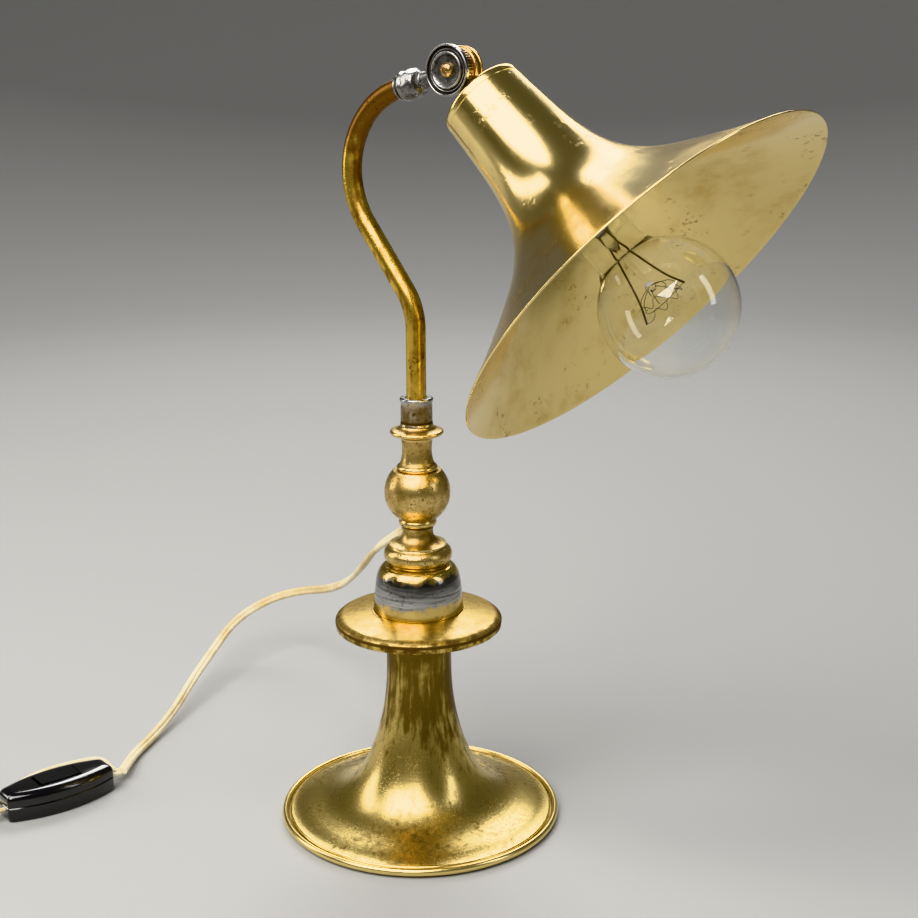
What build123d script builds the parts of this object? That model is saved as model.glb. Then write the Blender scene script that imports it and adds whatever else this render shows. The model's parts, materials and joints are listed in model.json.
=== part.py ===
"""Adjustable brass table lamp: weighted trumpet foot, turned column, bent stem, friction knuckle and bell shade.

Millimetres. The origin is the centre of the underside of the foot, +Z is up, and the stem and the
shade lie in the XZ plane, with the shade on the +X side.
"""

from build123d import *
from math import cos, hypot, pi, radians, sin, tan
import os

os.makedirs("parts", exist_ok=True)

# ---------------------------------------------------------------- fits
RUNNING = 0.05  # radial clearance of a shaft that turns or a thread that screws in
BODY_GAP = 0.3  # gap between pieces that move past each other
SEAT_GAP = 0.1  # gap between pieces of one body that aren't drawn face to face

# ---------------------------------------------------------------- foot
FOOT_R = 70.0
RIM_WIDTH = 3.0
RIM_BOTTOM = 1.0
RIM_TOP = 4.8
FELT_T = 1.5
SHELL_WALL = 1.2
NECK_R = 16.0
FOOT_H = 99.2
LEDGE_T = 1.1
LEDGE_WIDTH = 9.0
WEIGHT_TOP = 26.0

# ---------------------------------------------------------------- column
DISC_R = 41.0
DISC_EDGE_H = 5.6
DISC_TOP_RISE = 3.2
DOME_R = 22.0
DOME_H = 23.5
DOME_WALL = 1.2
RING_R = 16.7
RING_H = 10.0
COVE_R = 7.4
LOWER_NECK_H = 13.0
BALL_R = 16.0
BALL_FOOT_R = 8.74
BALL_TOP_R = 11.62
COLLAR_R = 9.9
UPPER_NECK_R = 7.1
UPPER_NECK_H = 16.0
FLANGE_R = 12.9
FLANGE_H = 5.8
FERRULE_R = 7.7
FERRULE_H = 14.0

# ---------------------------------------------------------------- rods and tubes in the column
ROD_R = 4.75
ROD_BORE_R = 3.6
ROD_BOTTOM = 3.0
NUT_FLATS = 14.0
NUT_H = 5.0
WASHER_R = 11.0
WASHER_T = 1.5
NIPPLE_BORE_R = 3.2

# ---------------------------------------------------------------- stem
STEM_R = 4.75
STEM_WALL = 1.0
STEM_RISE = 32.3
LOWER_BEND_R = 30.0
LOWER_BEND = 37.5
STEM_STRAIGHT = 37.5
UPPER_BEND_R = 39.5
UPPER_BEND = 113.0
STEM_END = 6.8

# ---------------------------------------------------------------- knuckle
KNUCKLE_REACH = 26.3
LUG_R = 10.4
LUG_T = 5.7
FACE_R = 11.4
FACE_T = 2.0
FRICTION_T = 1.0
SCREW_R = 2.5
SCREW_HEAD_R = 3.4
SCREW_HEAD_H = 2.4
SOCKET_R = 7.0
SPRING_WASHER_T = 0.8
KNUCKLE_NUT_T = 2.6
KNUCKLE_NUT_FLATS = 8.0

# ---------------------------------------------------------------- shade and lampholder, along the shade's axis
SHADE_DROP = 41.0
CAP_START = 17.5
CAP_T = 1.2
SHADE_START = 21.8
SHADE_WALL = 0.8
MOUTH_R = 96.2
MOUTH_AT = 131.5
# The bell's curve from its neck to its mouth: shares of its depth, and of its flare there.
BELL_CURVE = [
    (0.0, 0.0),
    (0.152, 0.017),
    (0.353, 0.055),
    (0.499, 0.1235),
    (0.635, 0.2615),
    (0.772, 0.498),
    (0.891, 0.748),
    (1.0, 1.0),
]
COLLAR_START = 13.2
LUG_COLLAR_R = 6.6
LOCKNUT_H = 4.0
HOLDER_START = 24.0
HOLDER_ROOM = 1.7
HOLDER_WALL = 1.2
HOLDER_CAP_LEN = 18.0
HOLDER_LEN = 51.0
PORCELAIN_FLOOR = 12.0
PORCELAIN_WALL = 2.25
BULB_CAP_R = 13.05
SCREW_SHELL_T = 0.5

# ---------------------------------------------------------------- bulb
BULB_START = 70.0
BULB_R = 30.0
BULB_LEN = 105.3
GLASS_T = 0.8
CAP_CEMENT = 0.65
LEAD_WIRE_R = 0.45
FILAMENT_R = 0.3

# ---------------------------------------------------------------- flex, switch and plug
FLEX_D = 5.0
CORE_D = 2.4
INNER_FLEX_D = 4.2
EXIT_AZIMUTH = 150.0
EXIT_DROP = 28.0
BUSHING_WALL = 0.75
BUSHING_LEN = 7.6
BUSHING_PROUD = 4.8
BUSHING_RIM = 0.6
BUSHING_RIM_T = 1.4
SWITCH_LEN = 58.0
SWITCH_W = 25.0
SWITCH_H = 15.0
SWITCH_WALL = 1.8
SWITCH_END_W = 12.0
SWITCH_ENTRY = 6.0
ROCKER_LEN = 22.0
ROCKER_W = 11.0
LEAD_GAP = 6.0
SWITCH_AT = (-155.6, -104.4)
SWITCH_TURN = 255.3
COIL_AT = (-200.0, -190.0)
COIL_R = 28.5
COIL_BOTTOM = 0.9
TIE_W = 4.0
TIE_T = 0.8
PLUG_LEN = 37.0
PLUG_W = 20.0
PLUG_H = 13.0
PIN_R = 2.0
PIN_LEN = 17.0
PIN_SPACING = 18.0


def save(piece, name):
    """Labels a finished sub-part and writes its STEP file."""
    piece.part.label = name
    export_step(piece.part, f"parts/{name}.step")


def inset(points, amount):
    """Moves each point of an outline to its right by amount, square to the outline there."""
    moved = []
    for i, (x, y) in enumerate(points):
        ax, ay = points[max(i - 1, 0)]
        bx, by = points[min(i + 1, len(points) - 1)]
        length = hypot(bx - ax, by - ay)
        moved.append((x + amount * (by - ay) / length, y - amount * (bx - ax) / length))
    return moved


def corner_radii(points, share=0.49):
    """Gives each corner of a route the largest arc that its two runs allow."""
    radii = []
    for a, b, c in zip(points, points[1:], points[2:]):
        first, second = Vector(*b) - Vector(*a), Vector(*c) - Vector(*b)
        half_turn = radians(first.get_angle(second)) / 2
        radii.append(share * min(first.length, second.length) / tan(half_turn))
    return radii


def along(start, direction, distance):
    """Gives the point at a distance from start in a direction."""
    return tuple(Vector(*start) + Vector(*direction).normalized() * distance)


# ================================================================ levels of the column, from the foot up
dome_bottom = FOOT_H + 1.3 + DISC_EDGE_H + DISC_TOP_RISE - 0.3
ring_bottom = dome_bottom + DOME_H
neck_bottom = ring_bottom + RING_H
ball_bottom = neck_bottom + LOWER_NECK_H
ball_level = ball_bottom + (BALL_R**2 - BALL_FOOT_R**2) ** 0.5
collar_bottom = ball_level + (BALL_R**2 - BALL_TOP_R**2) ** 0.5
flange_bottom = collar_bottom + UPPER_NECK_H
ferrule_bottom = flange_bottom + FLANGE_H
ferrule_top = ferrule_bottom + FERRULE_H
cove_level = neck_bottom + 7.0
rod_top = neck_bottom + 3.8
nipple_bottom = ball_bottom - SEAT_GAP
nipple_top = ferrule_bottom - 3.7
stem_bottom = nipple_top + BODY_GAP

# ================================================================ radii that follow what they hold
bushing_r = FLEX_D / 2 + RUNNING + BUSHING_WALL
shell_r = BULB_CAP_R + BODY_GAP
porcelain_r = shell_r + SCREW_SHELL_T + SEAT_GAP + PORCELAIN_WALL
holder_r = porcelain_r + SEAT_GAP + HOLDER_WALL
cap_r = holder_r + HOLDER_ROOM + SHADE_WALL
bulb_neck_r = BULB_CAP_R - CAP_CEMENT

# ================================================================ foot
ledge_r = FOOT_R - RIM_WIDTH
shell_edge_r = ledge_r - SEAT_GAP
ledge_top = RIM_BOTTOM + 0.5 + LEDGE_T
flare = [
    (NECK_R, FOOT_H - 18.0),
    (NECK_R + 2.2, 56.0),
    (NECK_R + 8.6, 34.0),
    (NECK_R + 17.2, 19.0),
    (FOOT_R - 23.0, 9.8),
    (FOOT_R - 11.0, 6.0),
    (shell_edge_r, ledge_top + SHELL_WALL + 0.4),
]
inner_flare = inset(flare, SHELL_WALL)
weight_flare = inset(flare, SHELL_WALL + BODY_GAP)

with BuildPart() as foot_shell:
    with BuildSketch(Plane.XZ):
        with BuildLine():
            Line((0, FOOT_H), (NECK_R, FOOT_H))
            Line((NECK_R, FOOT_H), flare[0])
            Spline(*flare, tangents=[(0, -1), (1, -0.08)])
            Line(flare[-1], (shell_edge_r, ledge_top))
            Line((shell_edge_r, ledge_top), (0, ledge_top))
            Line((0, ledge_top), (0, FOOT_H))
        make_face()
    revolve(axis=Axis.Z)
    with BuildSketch(Plane.XZ):
        with BuildLine():
            Line((0, FOOT_H - 2), (NECK_R - SHELL_WALL, FOOT_H - 2))
            Line((NECK_R - SHELL_WALL, FOOT_H - 2), inner_flare[0])
            Spline(*inner_flare, tangents=[(0, -1), (1, -0.08)])
            Line(inner_flare[-1], (shell_edge_r, ledge_top - 1))
            Line((shell_edge_r, ledge_top - 1), (0, ledge_top - 1))
            Line((0, ledge_top - 1), (0, FOOT_H - 2))
        make_face()
    revolve(axis=Axis.Z, mode=Mode.SUBTRACT)
    with Locations((0, 0, FOOT_H)):
        Hole(ROD_R + RUNNING)

with BuildPart() as rim_ring:
    with BuildSketch(Plane.XZ):
        with BuildLine():
            bead_low = Line((ledge_r, FELT_T), (ledge_r, RIM_BOTTOM))
            bead_base = Line(bead_low @ 1, (FOOT_R - 1.4, RIM_BOTTOM))
            bead = ThreePointArc(bead_base @ 1, (FOOT_R, RIM_BOTTOM + 2.0), (ledge_r + RIM_WIDTH / 2, RIM_TOP))
            bead_in = ThreePointArc(bead @ 1, (ledge_r + 0.4, RIM_TOP - 0.5), (ledge_r, RIM_TOP - 1.4))
            drop = Line(bead_in @ 1, (ledge_r, ledge_top))
            ledge = Line(drop @ 1, (ledge_r - LEDGE_WIDTH, ledge_top))
            step_down = Line(ledge @ 1, (ledge_r - LEDGE_WIDTH, FELT_T))
            Line(step_down @ 1, bead_low @ 0)
        make_face()
    revolve(axis=Axis.Z)

with BuildPart() as felt_pad:
    with BuildSketch():
        Circle(ledge_r - SEAT_GAP)
    extrude(amount=FELT_T)

weight_edge = ledge_r - LEDGE_WIDTH - SEAT_GAP
recess_top = ROD_BOTTOM + NUT_H + WASHER_T + 0.5
with BuildPart() as base_weight:
    with BuildSketch(Plane.XZ):
        with BuildLine():
            Line((0, FOOT_H - 20), weight_flare[0])
            Spline(*weight_flare, tangents=[(0, -1), (1, -0.08)])
            Line(weight_flare[-1], (0, weight_flare[-1][1]))
            Line((0, weight_flare[-1][1]), (0, FOOT_H - 20))
        make_face()
    revolve(axis=Axis.Z)
    split(bisect_by=Plane.XY.offset(WEIGHT_TOP), keep=Keep.BOTTOM)
    with BuildSketch(Plane.XY.offset(FELT_T)):
        Circle(weight_edge)
    extrude(amount=weight_flare[-1][1] - FELT_T + 0.5)
    with BuildSketch(Plane.XY.offset(FELT_T)):
        Circle(2 * FOOT_R)
        Circle(weight_edge, mode=Mode.SUBTRACT)
    extrude(amount=FOOT_H, mode=Mode.SUBTRACT)
    with BuildSketch(Plane.XY.offset(FELT_T)):
        Circle(WASHER_R + 2)
    extrude(amount=recess_top - FELT_T, mode=Mode.SUBTRACT)
    with BuildSketch(Plane.XY.offset(FELT_T)):
        Circle(ROD_R + RUNNING)
    extrude(amount=FOOT_H, mode=Mode.SUBTRACT)

with BuildPart() as tie_rod:
    with BuildSketch(Plane.XY.offset(ROD_BOTTOM)):
        Circle(ROD_R)
        Circle(ROD_BORE_R, mode=Mode.SUBTRACT)
    extrude(amount=rod_top - ROD_BOTTOM)
    chamfer(tie_rod.edges().filter_by(GeomType.CIRCLE).group_by(SortBy.RADIUS)[-1], 0.4)

with BuildPart() as tie_rod_washer:
    with BuildSketch(Plane.XY.offset(recess_top - WASHER_T)):
        Circle(WASHER_R)
        Circle(ROD_R + RUNNING, mode=Mode.SUBTRACT)
    extrude(amount=WASHER_T)

with BuildPart() as tie_rod_nut:
    with BuildSketch(Plane.XY.offset(recess_top - WASHER_T - NUT_H)):
        RegularPolygon(NUT_FLATS / 2, 6, major_radius=False)
        Circle(ROD_R + RUNNING, mode=Mode.SUBTRACT)
    extrude(amount=NUT_H)
    chamfer(tie_rod_nut.faces().sort_by(Axis.Z)[0].outer_wire().edges(), 0.6)

# ================================================================ drip disc and dome
disc_low = FOOT_H + 1.3
disc_edge_top = disc_low + DISC_EDGE_H
with BuildPart() as drip_disc:
    with BuildSketch(Plane.XZ):
        with BuildLine():
            seat = Line((ROD_R + RUNNING, FOOT_H), (NECK_R + 2, FOOT_H))
            under = Line(seat @ 1, (DISC_R - 4.5, disc_low + 2.2))
            lip_in = Line(under @ 1, (DISC_R - 2.4, disc_low))
            lip = Line(lip_in @ 1, (DISC_R - 1.0, disc_low))
            edge_low = ThreePointArc(lip @ 1, (DISC_R - 0.25, disc_low + 0.35), (DISC_R, disc_low + 1.2))
            edge = Line(edge_low @ 1, (DISC_R, disc_edge_top - 2.4))
            edge_high = ThreePointArc(edge @ 1, (DISC_R - 0.8, disc_edge_top - 0.7), (DISC_R - 3.0, disc_edge_top + 0.2))
            top = Line(edge_high @ 1, (DOME_R + SEAT_GAP, dome_bottom + 0.3))
            step_in = Line(top @ 1, (DOME_R + SEAT_GAP, dome_bottom))
            step_floor = Line(step_in @ 1, (ROD_R + RUNNING, dome_bottom))
            Line(step_floor @ 1, seat @ 0)
        make_face()
    revolve(axis=Axis.Z)

with BuildPart() as dome_cup:
    with BuildSketch(Plane.XZ):
        with BuildLine():
            foot_line = Line((0, dome_bottom), (DOME_R, dome_bottom))
            side = Spline(
                foot_line @ 1,
                (DOME_R - 0.6, dome_bottom + 9.5),
                (DOME_R - 1.5, dome_bottom + 16.0),
                tangents=[(-0.02, 1), (-0.2, 1)],
            )
            shoulder = TangentArc(side @ 1, (RING_R - 0.7, ring_bottom), tangent=side % 1)
            crown = Line(shoulder @ 1, (0, ring_bottom))
            Line(crown @ 1, foot_line @ 0)
        make_face()
    revolve(axis=Axis.Z)
    offset(amount=-DOME_WALL, openings=dome_cup.faces().sort_by(Axis.Z)[0])
    with Locations((0, 0, ring_bottom)):
        Hole(ROD_R + RUNNING)

# ================================================================ turned column
torus_level = ring_bottom + 5.0
with BuildPart() as column_ring:
    with BuildSketch(Plane.XZ):
        with BuildLine():
            base_line = Line((ROD_R + RUNNING, ring_bottom), (RING_R - 3.2, ring_bottom))
            riser = Line(base_line @ 1, (RING_R - 3.2, ring_bottom + 0.8))
            bulge = ThreePointArc(riser @ 1, (RING_R, torus_level), (RING_R - 2.3, neck_bottom - 0.9))
            groove = Line(bulge @ 1, (RING_R - 2.9, neck_bottom))
            ring_top = Line(groove @ 1, (ROD_R + RUNNING, neck_bottom))
            Line(ring_top @ 1, base_line @ 0)
        make_face()
    revolve(axis=Axis.Z)

exit_out = Vector(cos(radians(EXIT_AZIMUTH)), sin(radians(EXIT_AZIMUTH)), 0)
exit_dir = exit_out * cos(radians(EXIT_DROP)) - Vector(0, 0, sin(radians(EXIT_DROP)))
exit_surface = exit_out * COVE_R + Vector(0, 0, cove_level + 0.3)
exit_end = exit_surface + exit_dir * BUSHING_PROUD
exit_plane = Plane(origin=tuple(exit_end), z_dir=tuple(exit_dir))
with BuildPart() as lower_neck:
    with BuildSketch(Plane.XZ):
        with BuildLine():
            neck_foot = Line((0, neck_bottom), (RING_R - 2.6, neck_bottom))
            lip_up = Line(neck_foot @ 1, (RING_R - 2.7, neck_bottom + 0.5))
            cove = Spline(
                lip_up @ 1,
                (COVE_R + 0.9, neck_bottom + 3.6),
                (COVE_R, cove_level),
                (COVE_R + 0.5, ball_bottom - 3.4),
                tangents=[(-1, 0.25), (0.35, 1)],
            )
            bead_start = Line(cove @ 1, (COVE_R + 1.0, ball_bottom - 3.4))
            bead_arc = ThreePointArc(bead_start @ 1, (COVE_R + 1.8, ball_bottom - 1.9), (COVE_R + 1.1, ball_bottom))
            neck_top = Line(bead_arc @ 1, (0, ball_bottom))
            Line(neck_top @ 1, neck_foot @ 0)
        make_face()
    revolve(axis=Axis.Z)
    with Locations((0, 0, ball_bottom)):
        Hole(ROD_R + RUNNING)
    with BuildSketch(exit_plane.offset(5)):
        Circle(bushing_r + RUNNING)
    extrude(amount=-(5 + BUSHING_PROUD + COVE_R / cos(radians(EXIT_DROP))), mode=Mode.SUBTRACT)
    with BuildSketch(exit_plane.offset(5)):
        Circle(bushing_r + BUSHING_RIM + RUNNING)
    extrude(amount=-(5 + BUSHING_RIM_T + RUNNING), mode=Mode.SUBTRACT)

with BuildPart() as cord_bushing:
    with BuildSketch(exit_plane):
        Circle(bushing_r)
    extrude(amount=-BUSHING_LEN)
    with BuildSketch(exit_plane):
        Circle(bushing_r + BUSHING_RIM)
    extrude(amount=-BUSHING_RIM_T)
    with BuildSketch(exit_plane.offset(0.1)):
        Circle(FLEX_D / 2 + RUNNING)
    extrude(amount=-BUSHING_LEN - 0.2, mode=Mode.SUBTRACT)

with BuildPart() as ball_knop:
    with BuildSketch(Plane.XZ):
        with BuildLine():
            low = Line((ROD_R + RUNNING, ball_bottom), (BALL_FOOT_R, ball_bottom))
            ball = ThreePointArc(low @ 1, (BALL_R, ball_level), (BALL_TOP_R, collar_bottom))
            high = Line(ball @ 1, (ROD_R + RUNNING, collar_bottom))
            Line(high @ 1, low @ 0)
        make_face()
    revolve(axis=Axis.Z)

with BuildPart() as upper_neck:
    with BuildSketch(Plane.XZ):
        with BuildLine():
            low = Line((ROD_R + RUNNING, collar_bottom), (COLLAR_R - 0.8, collar_bottom))
            collar = ThreePointArc(low @ 1, (COLLAR_R, collar_bottom + 1.3), (COLLAR_R - 0.9, collar_bottom + 2.7))
            waist = Spline(
                collar @ 1,
                (UPPER_NECK_R + 0.7, collar_bottom + 5.0),
                (UPPER_NECK_R, collar_bottom + 10.5),
                (UPPER_NECK_R + 0.6, flange_bottom),
                tangents=[(-0.6, 0.8), (0.15, 1)],
            )
            high = Line(waist @ 1, (ROD_R + RUNNING, flange_bottom))
            Line(high @ 1, low @ 0)
        make_face()
    revolve(axis=Axis.Z)

with BuildPart() as top_flange:
    with BuildSketch(Plane.XZ):
        with BuildLine():
            low = Line((ROD_R + RUNNING, flange_bottom), (UPPER_NECK_R + 0.8, flange_bottom))
            under = RadiusArc(low @ 1, (FLANGE_R - 1.2, flange_bottom + 1.5), 9)
            edge = ThreePointArc(under @ 1, (FLANGE_R, flange_bottom + 2.7), (FLANGE_R - 1.0, flange_bottom + 3.9))
            over = RadiusArc(edge @ 1, (FERRULE_R + 0.6, ferrule_bottom), 9)
            high = Line(over @ 1, (ROD_R + RUNNING, ferrule_bottom))
            Line(high @ 1, low @ 0)
        make_face()
    revolve(axis=Axis.Z)
    with BuildSketch(Plane.XY.offset(nipple_top)):
        Circle(STEM_R + RUNNING)
    extrude(amount=FLANGE_H, mode=Mode.SUBTRACT)

with BuildPart() as stem_ferrule:
    with BuildSketch(Plane.XZ):
        with BuildLine():
            low = Line((STEM_R + RUNNING, ferrule_bottom), (FERRULE_R + 0.4, ferrule_bottom))
            skirt = Line(low @ 1, (FERRULE_R, ferrule_bottom + 1.6))
            barrel = Line(skirt @ 1, (FERRULE_R - 0.1, ferrule_top - 2.4))
            lip = ThreePointArc(barrel @ 1, (FERRULE_R + 0.3, ferrule_top - 1.2), (FERRULE_R - 0.2, ferrule_top))
            high = Line(lip @ 1, (STEM_R + RUNNING, ferrule_top))
            Line(high @ 1, low @ 0)
        make_face()
    revolve(axis=Axis.Z)

with BuildPart() as column_nipple:
    with BuildSketch(Plane.XY.offset(nipple_bottom)):
        Circle(ROD_R)
        Circle(NIPPLE_BORE_R, mode=Mode.SUBTRACT)
    extrude(amount=nipple_top - nipple_bottom)

# ================================================================ stem tube
stem_heading = 90 + LOWER_BEND - UPPER_BEND
with BuildLine(Plane.XZ) as stem_line:
    rise = Line((0, stem_bottom), (0, ferrule_top + STEM_RISE))
    lower_bend = JernArc(rise @ 1, rise % 1, LOWER_BEND_R, LOWER_BEND)
    lean = PolarLine(lower_bend @ 1, STEM_STRAIGHT, direction=lower_bend % 1)
    upper_bend = JernArc(lean @ 1, lean % 1, UPPER_BEND_R, -UPPER_BEND)
    tip = PolarLine(upper_bend @ 1, STEM_END, direction=upper_bend % 1)

with BuildPart() as stem_tube:
    with BuildSketch(Plane.XY.offset(stem_bottom)):
        Circle(STEM_R)
        Circle(STEM_R - STEM_WALL, mode=Mode.SUBTRACT)
    sweep(path=stem_line.wires()[0])

stem_tip = tip @ 1
heading = tip % 1
knuckle = stem_tip + heading * KNUCKLE_REACH
print("stem tip", stem_tip, "heading", stem_heading, "knuckle", knuckle)

# ================================================================ knuckle
# Places along the hinge pin, from the face disc at the -Y side to the nut at the +Y side.
lug_front = -FRICTION_T / 2 - LUG_T
face_front = lug_front - FACE_T
shade_lug_front = FRICTION_T / 2 + SEAT_GAP
shade_lug_back = shade_lug_front + LUG_T
nut_front = shade_lug_back + SPRING_WASHER_T + SEAT_GAP
pin_axis = Axis(tuple(knuckle), (0, 1, 0))


def knuckle_plane(y, direction=heading):
    """Gives the plane square to the hinge pin at y, with its X along a direction in the XZ plane."""
    return Plane(origin=(knuckle.X, y, knuckle.Z), x_dir=tuple(direction), z_dir=(0, 1, 0))


pin_section = Plane(origin=tuple(knuckle), x_dir=(0, 1, 0), z_dir=tuple(Vector(0, 1, 0).cross(heading)))
socket_centre = stem_tip + heading * 1.2
with BuildPart() as arm_lug:
    with Locations(tuple(socket_centre)):
        Sphere(SOCKET_R)
    with BuildSketch(Plane(origin=tuple(stem_tip - heading * 6.5), z_dir=tuple(heading))):
        Circle(STEM_R + 1.3)
    extrude(amount=6.5)
    with BuildSketch(knuckle_plane(-FRICTION_T / 2)):
        with Locations((-KNUCKLE_REACH / 2, 0)):
            Rectangle(KNUCKLE_REACH, 7.4)
    extrude(amount=-LUG_T + 0.8)
    with BuildSketch(knuckle_plane(-FRICTION_T / 2)):
        Circle(LUG_R)
    extrude(amount=-LUG_T)
    with BuildSketch(knuckle_plane(1)):
        Circle(SCREW_R + RUNNING)
    extrude(amount=-LUG_T - 4, mode=Mode.SUBTRACT)
    with BuildSketch(Plane(origin=tuple(stem_tip - heading * 8), z_dir=tuple(heading))):
        Circle(STEM_R + RUNNING)
    extrude(amount=8 + SEAT_GAP, mode=Mode.SUBTRACT)
    with BuildSketch(Plane(origin=tuple(stem_tip), z_dir=tuple(heading))):
        Circle(STEM_R - STEM_WALL)
    extrude(amount=4.5, mode=Mode.SUBTRACT)

with BuildPart() as friction_washer:
    with BuildSketch(knuckle_plane(-FRICTION_T / 2)):
        Circle(LUG_R - 0.6)
        Circle(SCREW_R + RUNNING, mode=Mode.SUBTRACT)
    extrude(amount=FRICTION_T)

with BuildPart() as face_disc:
    with BuildSketch(pin_section):
        with BuildLine():
            inner = Line((lug_front, SCREW_R + RUNNING), (lug_front - 0.9, SCREW_R + RUNNING))
            floor = Line(inner @ 1, (lug_front - 0.9, SCREW_HEAD_R + 0.4))
            dish = ThreePointArc(floor @ 1, (lug_front - 1.5, FACE_R - 5.4), (lug_front - 1.9, FACE_R - 3.9))
            ring_out = ThreePointArc(dish @ 1, (lug_front - 1.7, FACE_R - 3.1), (lug_front - 1.0, FACE_R - 2.7))
            groove = Line(ring_out @ 1, (lug_front - 1.0, FACE_R - 2.0))
            rim = ThreePointArc(groove @ 1, (face_front, FACE_R - 1.0), (lug_front - 1.0, FACE_R))
            edge = Line(rim @ 1, (lug_front, FACE_R))
            Line(edge @ 1, inner @ 0)
        make_face()
    revolve(axis=pin_axis)

screw_head_back = lug_front - 0.9
with BuildPart() as knuckle_screw:
    with BuildSketch(pin_section):
        with BuildLine():
            dome = ThreePointArc(
                (screw_head_back - SCREW_HEAD_H, 0),
                (screw_head_back - SCREW_HEAD_H * 0.8, SCREW_HEAD_R * 0.72),
                (screw_head_back - 0.6, SCREW_HEAD_R),
            )
            head_edge = Line(dome @ 1, (screw_head_back, SCREW_HEAD_R))
            head_back = Line(head_edge @ 1, (screw_head_back, SCREW_R))
            shank = Line(head_back @ 1, (nut_front + KNUCKLE_NUT_T + 0.4, SCREW_R))
            shank_end = Line(shank @ 1, (nut_front + KNUCKLE_NUT_T + 0.4, 0))
            Line(shank_end @ 1, dome @ 0)
        make_face()
    revolve(axis=pin_axis)
    with BuildSketch(knuckle_plane(screw_head_back - SCREW_HEAD_H - 0.5)):
        Rectangle(2 * SCREW_HEAD_R + 1, 0.9, rotation=62)
    extrude(amount=1.7, mode=Mode.SUBTRACT)

# ================================================================ the shade's own axis
drop = radians(SHADE_DROP)
shade_dir = Vector(cos(drop), 0, -sin(drop))
shade_up = Vector(sin(drop), 0, cos(drop))
shade_axis = Axis(tuple(knuckle), tuple(shade_dir))
shade_section = Plane(origin=tuple(knuckle), x_dir=tuple(shade_up), z_dir=(0, 1, 0))


def across(distance):
    """Gives the plane square to the shade's axis at a distance from the hinge pin."""
    return Plane(origin=tuple(knuckle + shade_dir * distance), x_dir=tuple(shade_up), z_dir=tuple(shade_dir))


with BuildPart() as shade_lug:
    with BuildSketch(knuckle_plane(shade_lug_front, shade_dir)):
        Circle(LUG_R)
    extrude(amount=LUG_T)
    with BuildSketch(knuckle_plane(shade_lug_front, shade_dir)):
        with Locations((CAP_START / 2, 0)):
            Rectangle(CAP_START, 10.0)
    extrude(amount=LUG_T - 0.6)
    with BuildSketch(across(COLLAR_START)):
        Circle(LUG_COLLAR_R)
    extrude(amount=CAP_START - COLLAR_START)
    with BuildSketch(across(COLLAR_START)):
        Circle(ROD_R + RUNNING)
    extrude(amount=CAP_START - COLLAR_START, mode=Mode.SUBTRACT)
    with BuildSketch(knuckle_plane(0, shade_dir)):
        Circle(SCREW_R + RUNNING)
    extrude(amount=2 * LUG_T, mode=Mode.SUBTRACT)

with BuildPart() as spring_washer:
    with BuildSketch(knuckle_plane(shade_lug_back)):
        Circle(KNUCKLE_NUT_FLATS / 2 + 0.2)
        Circle(SCREW_R + RUNNING, mode=Mode.SUBTRACT)
    extrude(amount=SPRING_WASHER_T)

with BuildPart() as knuckle_nut:
    with BuildSketch(knuckle_plane(nut_front)):
        RegularPolygon(KNUCKLE_NUT_FLATS / 2, 6, major_radius=False)
        Circle(SCREW_R + RUNNING, mode=Mode.SUBTRACT)
    extrude(amount=KNUCKLE_NUT_T)

with BuildPart() as shade_nipple:
    with BuildSketch(across(COLLAR_START)):
        Circle(ROD_R)
        Circle(NIPPLE_BORE_R, mode=Mode.SUBTRACT)
    extrude(amount=HOLDER_START + 12 - COLLAR_START)

with BuildPart() as shade_cap:
    with BuildSketch(shade_section):
        with BuildLine():
            back = Line((ROD_R + RUNNING, CAP_START), (cap_r - 2.2, CAP_START))
            corner = TangentArc(back @ 1, (cap_r, CAP_START + 2.2), tangent=(1, 0))
            band = Line(corner @ 1, (cap_r, SHADE_START))
            seat = Line(band @ 1, (cap_r - SHADE_WALL - SEAT_GAP, SHADE_START))
            spigot = Line(seat @ 1, (cap_r - SHADE_WALL - SEAT_GAP, SHADE_START + 4))
            spigot_end = Line(spigot @ 1, (cap_r - SHADE_WALL - SEAT_GAP - CAP_T, SHADE_START + 4))
            inside = Line(spigot_end @ 1, (cap_r - SHADE_WALL - SEAT_GAP - CAP_T, CAP_START + CAP_T + 1.5))
            inner_corner = Line(inside @ 1, (cap_r - 4.2, CAP_START + CAP_T))
            floor = Line(inner_corner @ 1, (ROD_R + RUNNING, CAP_START + CAP_T))
            Line(floor @ 1, back @ 0)
        make_face()
    revolve(axis=shade_axis)

bell = [
    (cap_r + 0.1 + flare * (MOUTH_R - cap_r - 0.1), SHADE_START + depth * (MOUTH_AT - SHADE_START))
    for depth, flare in BELL_CURVE
]
inner_bell = inset(bell, -SHADE_WALL)
with BuildPart() as shade_bell:
    with BuildSketch(shade_section):
        with BuildLine():
            outer = Spline(*bell, tangents=[(0.06, 1), (1, 0.6)])
            lip = ThreePointArc(
                outer @ 1,
                (MOUTH_R + 0.35, MOUTH_AT + 0.75),
                (MOUTH_R - 0.55, MOUTH_AT + 0.75),
            )
            inner = Spline(*(inner_bell[:-1] + [lip @ 1]), tangents=[(0.06, 1), (1, 0.6)])
            Line(inner @ 0, outer @ 0)
        make_face()
    revolve(axis=shade_axis)

with BuildPart() as cap_locknut:
    with BuildSketch(across(CAP_START + CAP_T)):
        RegularPolygon(NUT_FLATS / 2, 6, major_radius=False)
        Circle(ROD_R + RUNNING, mode=Mode.SUBTRACT)
    extrude(amount=LOCKNUT_H)

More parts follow.
